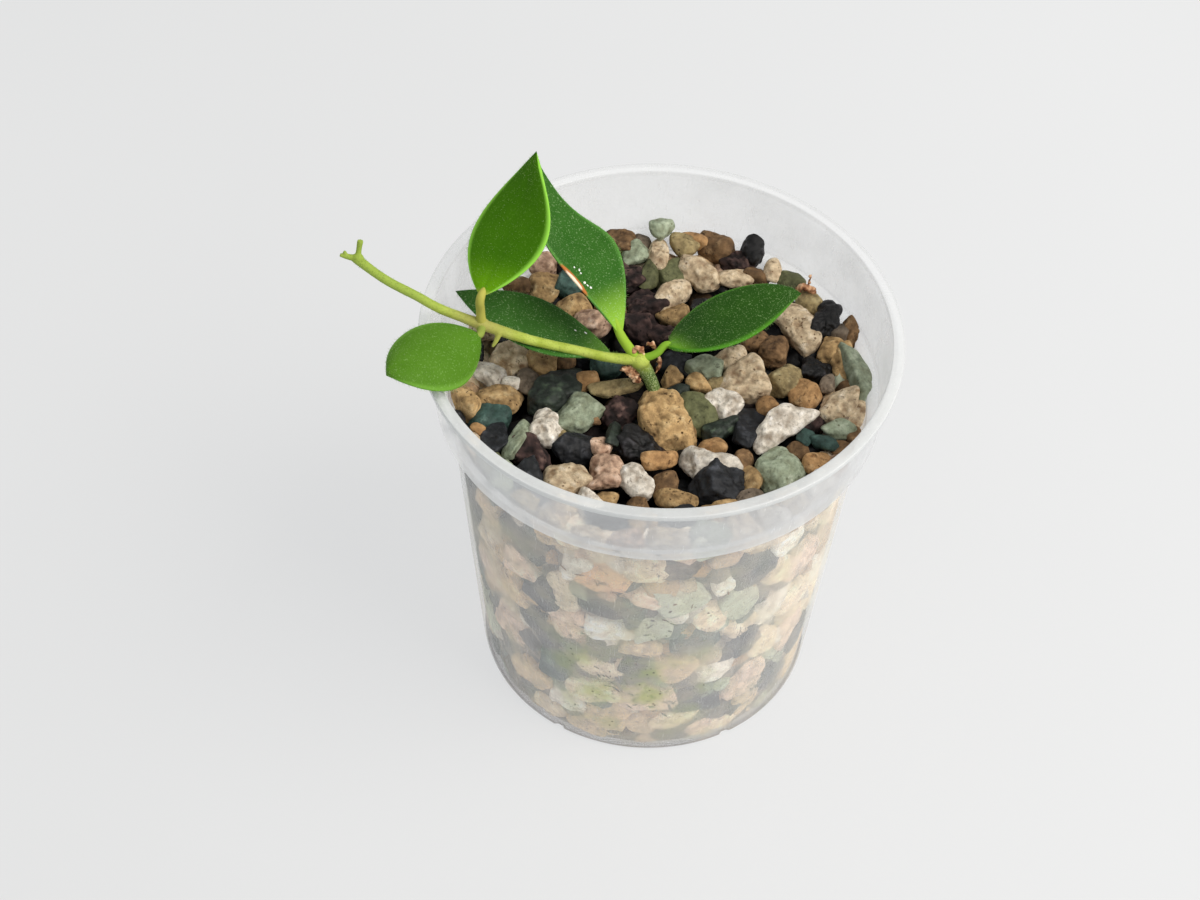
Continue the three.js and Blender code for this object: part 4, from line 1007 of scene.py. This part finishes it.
def makeLeafMaterial(name, leaf):
    # a fleshy hoya leaf: waxy, downed with fine pale hairs, with a brighter margin
    material = newMaterial("hoyaLeaf" + name[-1])
    coords = addNode(material, "TexCoord")
    leafMap = addNode(material, "UVMap", {"uv_map": "leafMap"})
    split = addNode(material, "SeparateXYZ", {}, {0: leafMap.outputs[0]})
    centred = addNode(material, "Math", {"operation": "SUBTRACT", 1: 0.5}, {0: split.outputs["X"]})
    aside = addNode(material, "Math", {"operation": "ABSOLUTE"}, {0: centred.outputs[0]})
    cloud = addNode(material, "TexNoise", {"Scale": perMm(5), "Detail": 4.0},
                    {"Vector": coords.outputs["Object"]})
    down = addNode(material, "TexNoise", {"Scale": perMm(0.34), "Detail": 1.0, "Roughness": 0.6},
                   {"Vector": coords.outputs["Object"]})
    margin = addNode(material, "MapRange", {"range": (0.42, 0.5), "interpolation_type": "SMOOTHSTEP"},
                     {"Value": aside.outputs[0]})
    nearBase = addNode(material, "MapRange", {"range": (0.0, leaf.get("baseReach", 0.3), 1.0, 0.0),
                        "interpolation_type": "SMOOTHSTEP"},
                       {"Value": split.outputs["Y"]})
    mottled = addNode(material, "MapRange", {"range": (0.3, 0.7, 0.0, 0.35)}, {"Value": cloud.outputs["Fac"]})
    speckle = addNode(material, "MapRange", {"range": (0.6, 0.72, 0.0, 0.42 * leaf["fuzz"])},
                      {"Value": down.outputs["Fac"]})
    ground = addNode(material, "Mix",
                     {"data_type": "RGBA", 6: hexColour(leaf["main"]), 7: hexColour(leaf["light"])},
                     {0: mottled.outputs["Result"]})
    onStalk = addNode(material, "MapRange", {"range": (0.05, 0.005)}, {"Value": split.outputs["Y"]})
    for share, part in ((nearBase, "base"), (margin, "edge"), (speckle, "pale"), (onStalk, "stalk")):
        ground = addNode(material, "Mix", {"data_type": "RGBA", 7: hexColour(leaf[part])},
                         {0: share.outputs["Result"], 6: ground.outputs[2]})
    if "scar" in leaf:
        ground = addScar(material, leaf["scar"], leafMap, cloud, ground)
    bump = addNode(material, "Bump", {"Strength": 0.35, "Distance": 0.08 * mm},
                   {"Height": down.outputs["Fac"]})
    surface = addNode(material, "BsdfPrincipled", {"Roughness": 0.62, "IOR": 1.42, "Specular IOR Level": 0.1},
                      {"Base Color": ground.outputs[2], "Normal": bump.outputs["Normal"]})
    addNode(material, "OutputMaterial", {}, {"Surface": surface.outputs[0]})
    return material


def addScar(material, scar, leafMap, cloud, ground):
    # a dry scar on the margin: cream inside, rusty round it, with a ragged outline
    fromScar = addNode(material, "VectorMath", {"operation": "SUBTRACT", 1: (0, scar["along"], 0)},
                       {0: leafMap.outputs[0]})
    scaled = addNode(material, "VectorMath",
                     {"operation": "MULTIPLY", 1: (1 / scar["depth"], 1 / scar["length"], 0)},
                     {0: fromScar.outputs[0]})
    away = addNode(material, "VectorMath", {"operation": "LENGTH"}, {0: scaled.outputs[0]})
    ragged = addNode(material, "Math", {"operation": "MULTIPLY_ADD", 1: 0.9},
                     {0: cloud.outputs["Fac"], 2: away.outputs["Value"]})
    rusty = addNode(material, "MapRange", {"range": (1.5, 1.32)}, {"Value": ragged.outputs[0]})
    dry = addNode(material, "MapRange", {"range": (1.15, 1.0)}, {"Value": ragged.outputs[0]})
    for share, code in ((rusty, "#b8703a"), (dry, "#f0dcc4")):
        ground = addNode(material, "Mix", {"data_type": "RGBA", 7: hexColour(code)},
                         {0: share.outputs["Result"], 6: ground.outputs[2]})
    return ground


def makeLeaf(name, leaf):
    shape = bmesh.new()
    bmesh.ops.create_uvsphere(shape, u_segments=blade["around"], v_segments=blade["along"], radius=1)
    spots = {}
    for vert in shape.verts:
        along = math.acos(max(-1, min(1, vert.co.z))) / math.pi
        swell = math.sin(math.pi * along)
        across = vert.co.x / swell if swell > 1e-4 else 0
        through = vert.co.y / swell if swell > 1e-4 else 0
        spots[vert] = (across, along)
        vert.co = bladePlace(leaf, along, across, through)
    layer = shape.loops.layers.uv.new("leafMap")
    for face in shape.faces:
        for loop in face.loops:
            across, along = spots[loop.vert]
            loop[layer].uv = (0.5 + 0.5 * across, along)
    radius = leaf["petioleRadius"]
    points = [Vector(point) for point in leaf["petiole"]]
    points += [bladePlace(leaf, 0.07, 0, -0.3), bladePlace(leaf, 0.16, 0, -0.9)]
    addTube(shape, points, [radius * 1.1, radius, radius * 0.95, radius * 0.6, 0.2], layer)
    finishPiece(name.replace("_", ""), shape, makeLeafMaterial(name, leaf), [name])


def addTube(shape, points, radii, layer=None):
    # a round tube through the points, made from a curve and added to the shape
    line = bpy.data.curves.new("tube", "CURVE")
    line.dimensions = "3D"
    line.bevel_depth = 1
    line.bevel_resolution = 4
    line.resolution_u = 8
    line.use_fill_caps = True
    spline = line.splines.new("BEZIER")
    spline.bezier_points.add(len(points) - 1)
    for knot, point, radius in zip(spline.bezier_points, points, radii):
        knot.co = point
        knot.radius = radius
        knot.handle_left_type = knot.handle_right_type = "AUTO"
    holder = bpy.data.objects.new("tube", line)
    bpy.context.scene.collection.objects.link(holder)
    bpy.context.view_layer.update()
    mesh = bpy.data.meshes.new_from_object(holder.evaluated_get(bpy.context.evaluated_depsgraph_get()))
    known = set(shape.faces)
    shape.from_mesh(mesh)
    fresh = [vert for vert in shape.verts if not set(vert.link_faces) & known]
    bmesh.ops.remove_doubles(shape, verts=fresh, dist=0.001)
    if layer:
        for face in shape.faces:
            if face not in known:
                for loop in face.loops:
                    loop[layer].uv = (0.5, 0.0)
    bpy.data.objects.remove(holder)
    bpy.data.curves.remove(line)
    bpy.data.meshes.remove(mesh)


def makeStemMaterial():
    # a young green shoot: satin, yellow-green, older and browner near the ground
    material = newMaterial("hoyaShoot")
    coords = addNode(material, "TexCoord")
    streaks = addNode(material, "TexNoise", {"Scale": perMm(2.6), "Detail": 4.0},
                      {"Vector": coords.outputs["Object"]})
    down = addNode(material, "TexNoise", {"Scale": perMm(0.3), "Detail": 2.0},
                   {"Vector": coords.outputs["Object"]})
    split = addNode(material, "SeparateXYZ", {}, {0: coords.outputs["Object"]})
    height = addNode(material, "MapRange",
                     {"range": (stem["oldTo"] * mm, stem["youngFrom"] * mm),
                      "interpolation_type": "SMOOTHSTEP"},
                     {"Value": split.outputs["Z"]})
    young = addNode(material, "ValToRGB", {"stops": [(0.35, "#9fb042"), (0.65, "#b6c55c")]},
                    {"Fac": streaks.outputs["Fac"]})
    old = addNode(material, "ValToRGB", {"stops": [(0.4, "#4a6232"), (0.58, "#839656"), (0.66, "#cbd8b6")]},
                  {"Fac": down.outputs["Fac"]})
    colour = addNode(material, "Mix", {"data_type": "RGBA"},
                     {0: height.outputs["Result"], 6: old.outputs[0], 7: young.outputs[0]})
    tip = addNode(material, "MapRange", {"range": (stem["tipFrom"] * mm, stem["tipTo"] * mm, 0, 0.8)},
                  {"Value": split.outputs["Z"]})
    specks = addNode(material, "MapRange", {"range": (0.56, 0.68, 0, 0.5)}, {"Value": down.outputs["Fac"]})
    fromNode = addNode(material, "VectorMath",
                       {"operation": "DISTANCE", 1: [mm * value for value in stem["vine"][-1]]},
                       {0: coords.outputs["Object"]})
    woody = addNode(material, "MapRange", {"range": (8 * mm, 1.5 * mm, 0, 0.6)},
                    {"Value": fromNode.outputs["Value"]})
    for share, code in ((tip, "#8ca444"), (specks, "#6f7f38"), (woody, "#a08f58")):
        colour = addNode(material, "Mix", {"data_type": "RGBA", 7: hexColour(code)},
                         {0: share.outputs["Result"], 6: colour.outputs[2]})
    bump = addNode(material, "Bump", {"Strength": 0.3, "Distance": 0.1 * mm}, {"Height": down.outputs["Fac"]})
    surface = addNode(material, "BsdfPrincipled", {"Roughness": 0.6, "IOR": 1.42, "Specular IOR Level": 0.2},
                      {"Base Color": colour.outputs[2], "Normal": bump.outputs["Normal"]})
    addNode(material, "OutputMaterial", {}, {"Surface": surface.outputs[0]})
    return material


def makeStem():
    # the parts of the shoot are grown together by a voxel remesh, at millimetre scale
    shape = bmesh.new()
    for part in ("stub", "vine", "run", "prong", "nub", "bump", "root"):
        addTube(shape, [Vector(point) for point in stem[part]], stem[part + "Radii"])
    for place, size in stem["nodes"]:
        spot = Matrix.Translation(place) @ Matrix.Diagonal((*size, 1))
        bmesh.ops.create_icosphere(shape, subdivisions=3, radius=1, matrix=spot)
    mesh = bpy.data.meshes.new("stemDraft")
    shape.to_mesh(mesh)
    shape.free()
    draft = bpy.data.objects.new("stemDraft", mesh)
    bpy.context.scene.collection.objects.link(draft)
    grow = draft.modifiers.new("grow", "REMESH")
    grow.mode = "VOXEL"
    grow.voxel_size = stem["voxel"]
    ease = draft.modifiers.new("ease", "SMOOTH")
    ease.factor = 0.5
    ease.iterations = 6
    applyModifiers(draft)
    shape = bmesh.new()
    shape.from_mesh(draft.data)
    bpy.data.objects.remove(draft)
    for vert in shape.verts:
        ripple = 0.03 * noise.noise(0.5 * vert.co) + 0.015 * noise.noise(2.2 * vert.co)
        vert.co += vert.normal * ripple
    finishPiece("shoot", shape, makeStemMaterial(), ["stem"])


# the fine pale hairs that hoya leaves and shoots carry, drawn about twice as thick as they are so
# that they show
hairs = {"radius": 0.02, "margin": (240, 0.3, 0.7), "face": (700, 0.12, 0.3), "shoot": (900, 0.15, 0.4),
         "spread": 0.5}


def addHair(shape, root, way, kind):
    length = draw.uniform(*hairs[kind][1:])
    lean = (way + hairs["spread"] * randomWay()).normalized()
    place = Matrix.Translation(root + 0.5 * length * lean) @ lean.to_track_quat("Z", "Y").to_matrix().to_4x4()
    bmesh.ops.create_cone(shape, cap_ends=True, segments=3, radius1=hairs["radius"],
                          radius2=0.25 * hairs["radius"], depth=length, matrix=place)


def makeHairs():
    # plant down: clear hairs that take up the green under them and fade the leaf's outline
    material = makeMottled("paleDown", 6, [(0.35, "#7fa65a"), (0.65, "#b6ce90")],
                           {"Roughness": 0.6, "Specular IOR Level": 0.2})
    for name, leaf in leaves.items():
        shape = bmesh.new()
        for _ in range(hairs["margin"][0]):
            along, side = draw.uniform(0.03, 0.98), draw.choice((-1, 1))
            root = bladePlace(leaf, along, side, 0)
            addHair(shape, root, (root - bladePlace(leaf, along, 0.8 * side, 0)).normalized(), "margin")
        for _ in range(hairs["face"][0]):
            along, across = draw.uniform(0.04, 0.96), draw.uniform(-0.95, 0.95)
            root = bladePlace(leaf, along, across, 1)
            addHair(shape, root, (root - bladePlace(leaf, along, across, -1)).normalized(), "face")
        finishPiece(name.replace("_", "") + "Hairs", shape, material, [name])
    shape = bmesh.new()
    for part in ("vine", "run"):
        points = [Vector(point) for point in stem[part]]
        for _ in range(hairs["shoot"][0] // 2):
            step = draw.randrange(len(points) - 1)
            share = draw.random()
            middle = points[step].lerp(points[step + 1], share)
            radius = stem[part + "Radii"][step]
            along = (points[step + 1] - points[step]).normalized()
            out = along.cross(randomWay()).normalized()
            addHair(shape, middle + 0.95 * radius * out, out, "shoot")
    finishPiece("shootHairs", shape, material, ["stem"])


# dried scraps: a curled bud scale and a strand at the lower node, a brown scab under it, and a wisp of
# dead root on the stones at the back right
scraps = {
    "curl": [(-5.0, -1.7, 81.4), (-5.1, -1.6, 83.0), (-4.5, -1.5, 84.3), (-3.5, -1.5, 84.0),
             (-3.3, -1.6, 82.9), (-3.7, -1.7, 82.5)],
    "curlRadii": [0.3, 0.42, 0.5, 0.45, 0.35, 0.15],
    "strand": [(-2.6, 0.4, 83.6), (-1.5, 0.4, 83.6), (-0.8, 0, 82.2), (-0.1, -1.4, 81), (-0.2, -1.6, 79.3),
               (-1.0, -1.8, 77.9)],
    "strandRadii": [0.2, 0.32, 0.26, 0.36, 0.34, 0.12],
    "scab": [((-5.9, -2.9, 80.1), (1.5, 0.7, 0.8)), ((-4.9, -2.9, 78.9), (1.2, 0.8, 1.0)),
             ((-4.2, -3.0, 77.6), (0.7, 0.5, 0.9))],
    "wisp": [(29.1, 25, 78.6), (29.0, 25, 76.8), (28.8, 25, 75.3)],
    "wispRadii": [0.2, 0.12, 0.16],
    "wispFoot": [(26.9, 25.2, 74.3), (28.0, 25.0, 75.4), (29.3, 24.8, 75.1), (29.9, 24.8, 74.0),
                 (28.7, 24.6, 72.6), (29.6, 24.0, 71.2)],
    "wispFootRadii": [0.5, 0.75, 0.65, 0.55, 0.45, 0.2],
    "crumple": (0.5, 0.6), "scabCrumple": (0.5, 0.5), "speckCrumple": (0.1, 0.2),  # height, size
    # white specks on the leaves: leaf, along, across
    "specks": [("leaf_2", 0.33, -0.52), ("leaf_2", 0.31, -0.4), ("leaf_2", 0.29, -0.44),
               ("leaf_2", 0.235, -0.62), ("leaf_2", 0.22, -0.58), ("leaf_2", 0.205, -0.5),
               ("leaf_1", 0.3, 0.5), ("leaf_1", 0.24, 0.66)],
}


def roughen(shape, height, size):
    for vert in shape.verts:
        vert.co += vert.normal * height * noise.noise(vert.co / size)


def makeScraps():
    # dried plant fibre: papery and dull, straw to rust brown in small patches
    material = makeMottled("driedPlantFibre", 1.3, [(0.38, "#7d4f33"), (0.5, "#c08f68"), (0.62, "#ecc9a4")],
                           {"Roughness": 0.85}, 4.0)
    for name, parts in (("driedScale", ["curl"]), ("driedStrand", ["strand"]),
                        ("driedWisp", ["wisp", "wispFoot"])):
        shape = bmesh.new()
        for part in parts:
            addTube(shape, [Vector(point) for point in scraps[part]], scraps[part + "Radii"])
        shape.normal_update()
        roughen(shape, *scraps["crumple"])
        finishPiece(name, shape, material, ["gravel" if "Wisp" in name else "stem"])
    shape = bmesh.new()
    for place, size in scraps["scab"]:
        bmesh.ops.create_icosphere(shape, subdivisions=4, radius=1,
                                   matrix=Matrix.Translation(place) @ Matrix.Diagonal((*size, 1)))
    shape.normal_update()
    roughen(shape, *scraps["scabCrumple"])
    finishPiece("driedScab", shape, material, ["stem"])


def makeLeafSpecks():
    # chalk left by dried drops of hard water: bright white grains
    material = makeMottled("hardWaterChalk", 0.5, [(0.35, "#cfd6c4"), (0.6, "#ffffff")], {"Roughness": 0.9})
    shape = bmesh.new()
    for name, along, across in scraps["specks"]:
        leaf = leaves[name]
        spot = bladePlace(leaf, along, across, 1)
        up = spot - bladePlace(leaf, along, across, -1)
        place = Matrix.Translation(spot) @ up.to_track_quat("Z", "Y").to_matrix().to_4x4()
        size = (draw.uniform(0.15, 0.4), draw.uniform(0.15, 0.3), 0.08)
        bmesh.ops.create_icosphere(shape, subdivisions=2, radius=1,
                                   matrix=place @ Matrix.Diagonal((*size, 1)))
    shape.normal_update()
    roughen(shape, *scraps["speckCrumple"])
    finishPiece("leafSpecks", shape, material, ["leaf_1", "leaf_2"])


for name, leaf in leaves.items():
    makeLeaf(name, leaf)
makeStem()
makeHairs()
makeScraps()
makeLeafSpecks()
print("plant made: shoot and", len(leaves), "leaves")


studio = {
    "size": 4.0, "sky": 0.6, "key": 21.0, "keyPlace": (0.85, -0.35, 1.15), "keySize": 1.0,
    "glow": 0.632,  # the floor is lit from below too, which keeps the shadows faint
    "glowRight": 0.68, "glowSpan": (-0.1, 0.12),  # at the right, and from where to where it grows
}


def makeFloor():
    # matt acrylic sheet on a light table, plain and pale
    material = newMaterial("mattAcrylicSheet")
    coords = addNode(material, "TexCoord")
    cloud = addNode(material, "TexNoise", {"Scale": 6.0, "Detail": 3.0}, {"Vector": coords.outputs["Object"]})
    tone = addNode(material, "ValToRGB", {"stops": [(0.3, "#626261"), (0.7, "#666665")]},
                   {"Fac": cloud.outputs["Fac"]})
    split = addNode(material, "SeparateXYZ", {}, {0: coords.outputs["Object"]})
    glow = addNode(material, "MapRange",
                   {"range": (*studio["glowSpan"], studio["glow"], studio["glowRight"])},
                   {"Value": split.outputs["X"]})
    surface = addNode(material, "BsdfPrincipled", {"Roughness": 0.7, "Emission Color": hexColour("#fcfdfe")},
                      {"Base Color": tone.outputs[0], "Emission Strength": glow.outputs["Result"]})
    addNode(material, "OutputMaterial", {}, {"Surface": surface.outputs[0]})
    shape = bmesh.new()
    bmesh.ops.create_grid(shape, x_segments=1, y_segments=1, size=studio["size"] / 2)
    mesh = bpy.data.meshes.new("floor")
    shape.to_mesh(mesh)
    shape.free()
    mesh.materials.append(material)
    floor = bpy.data.objects.new("floor", mesh)
    bpy.context.scene.collection.objects.link(floor)


def makeLight():
    world = bpy.data.worlds.new("softRoom")
    bpy.context.scene.world = world
    world.use_nodes = True
    background = world.node_tree.nodes["Background"]
    background.inputs["Color"].default_value = hexColour("#f6f7f8")
    background.inputs["Strength"].default_value = studio["sky"]
    lamp = bpy.data.lights.new("softWindow", "AREA")
    lamp.energy = studio["key"]
    lamp.size = studio["keySize"]
    lamp.color = hexColour("#fffaf4")[:3]
    window = bpy.data.objects.new("softWindow", lamp)
    bpy.context.scene.collection.objects.link(window)
    spot = Vector(studio["keyPlace"])
    window.matrix_world = Matrix.Translation(spot) @ (-spot).to_track_quat("-Z", "Y").to_matrix().to_4x4()


makeFloor()
makeLight()
bpy.context.scene.view_settings.view_transform = "Standard"
print("floor and light made")
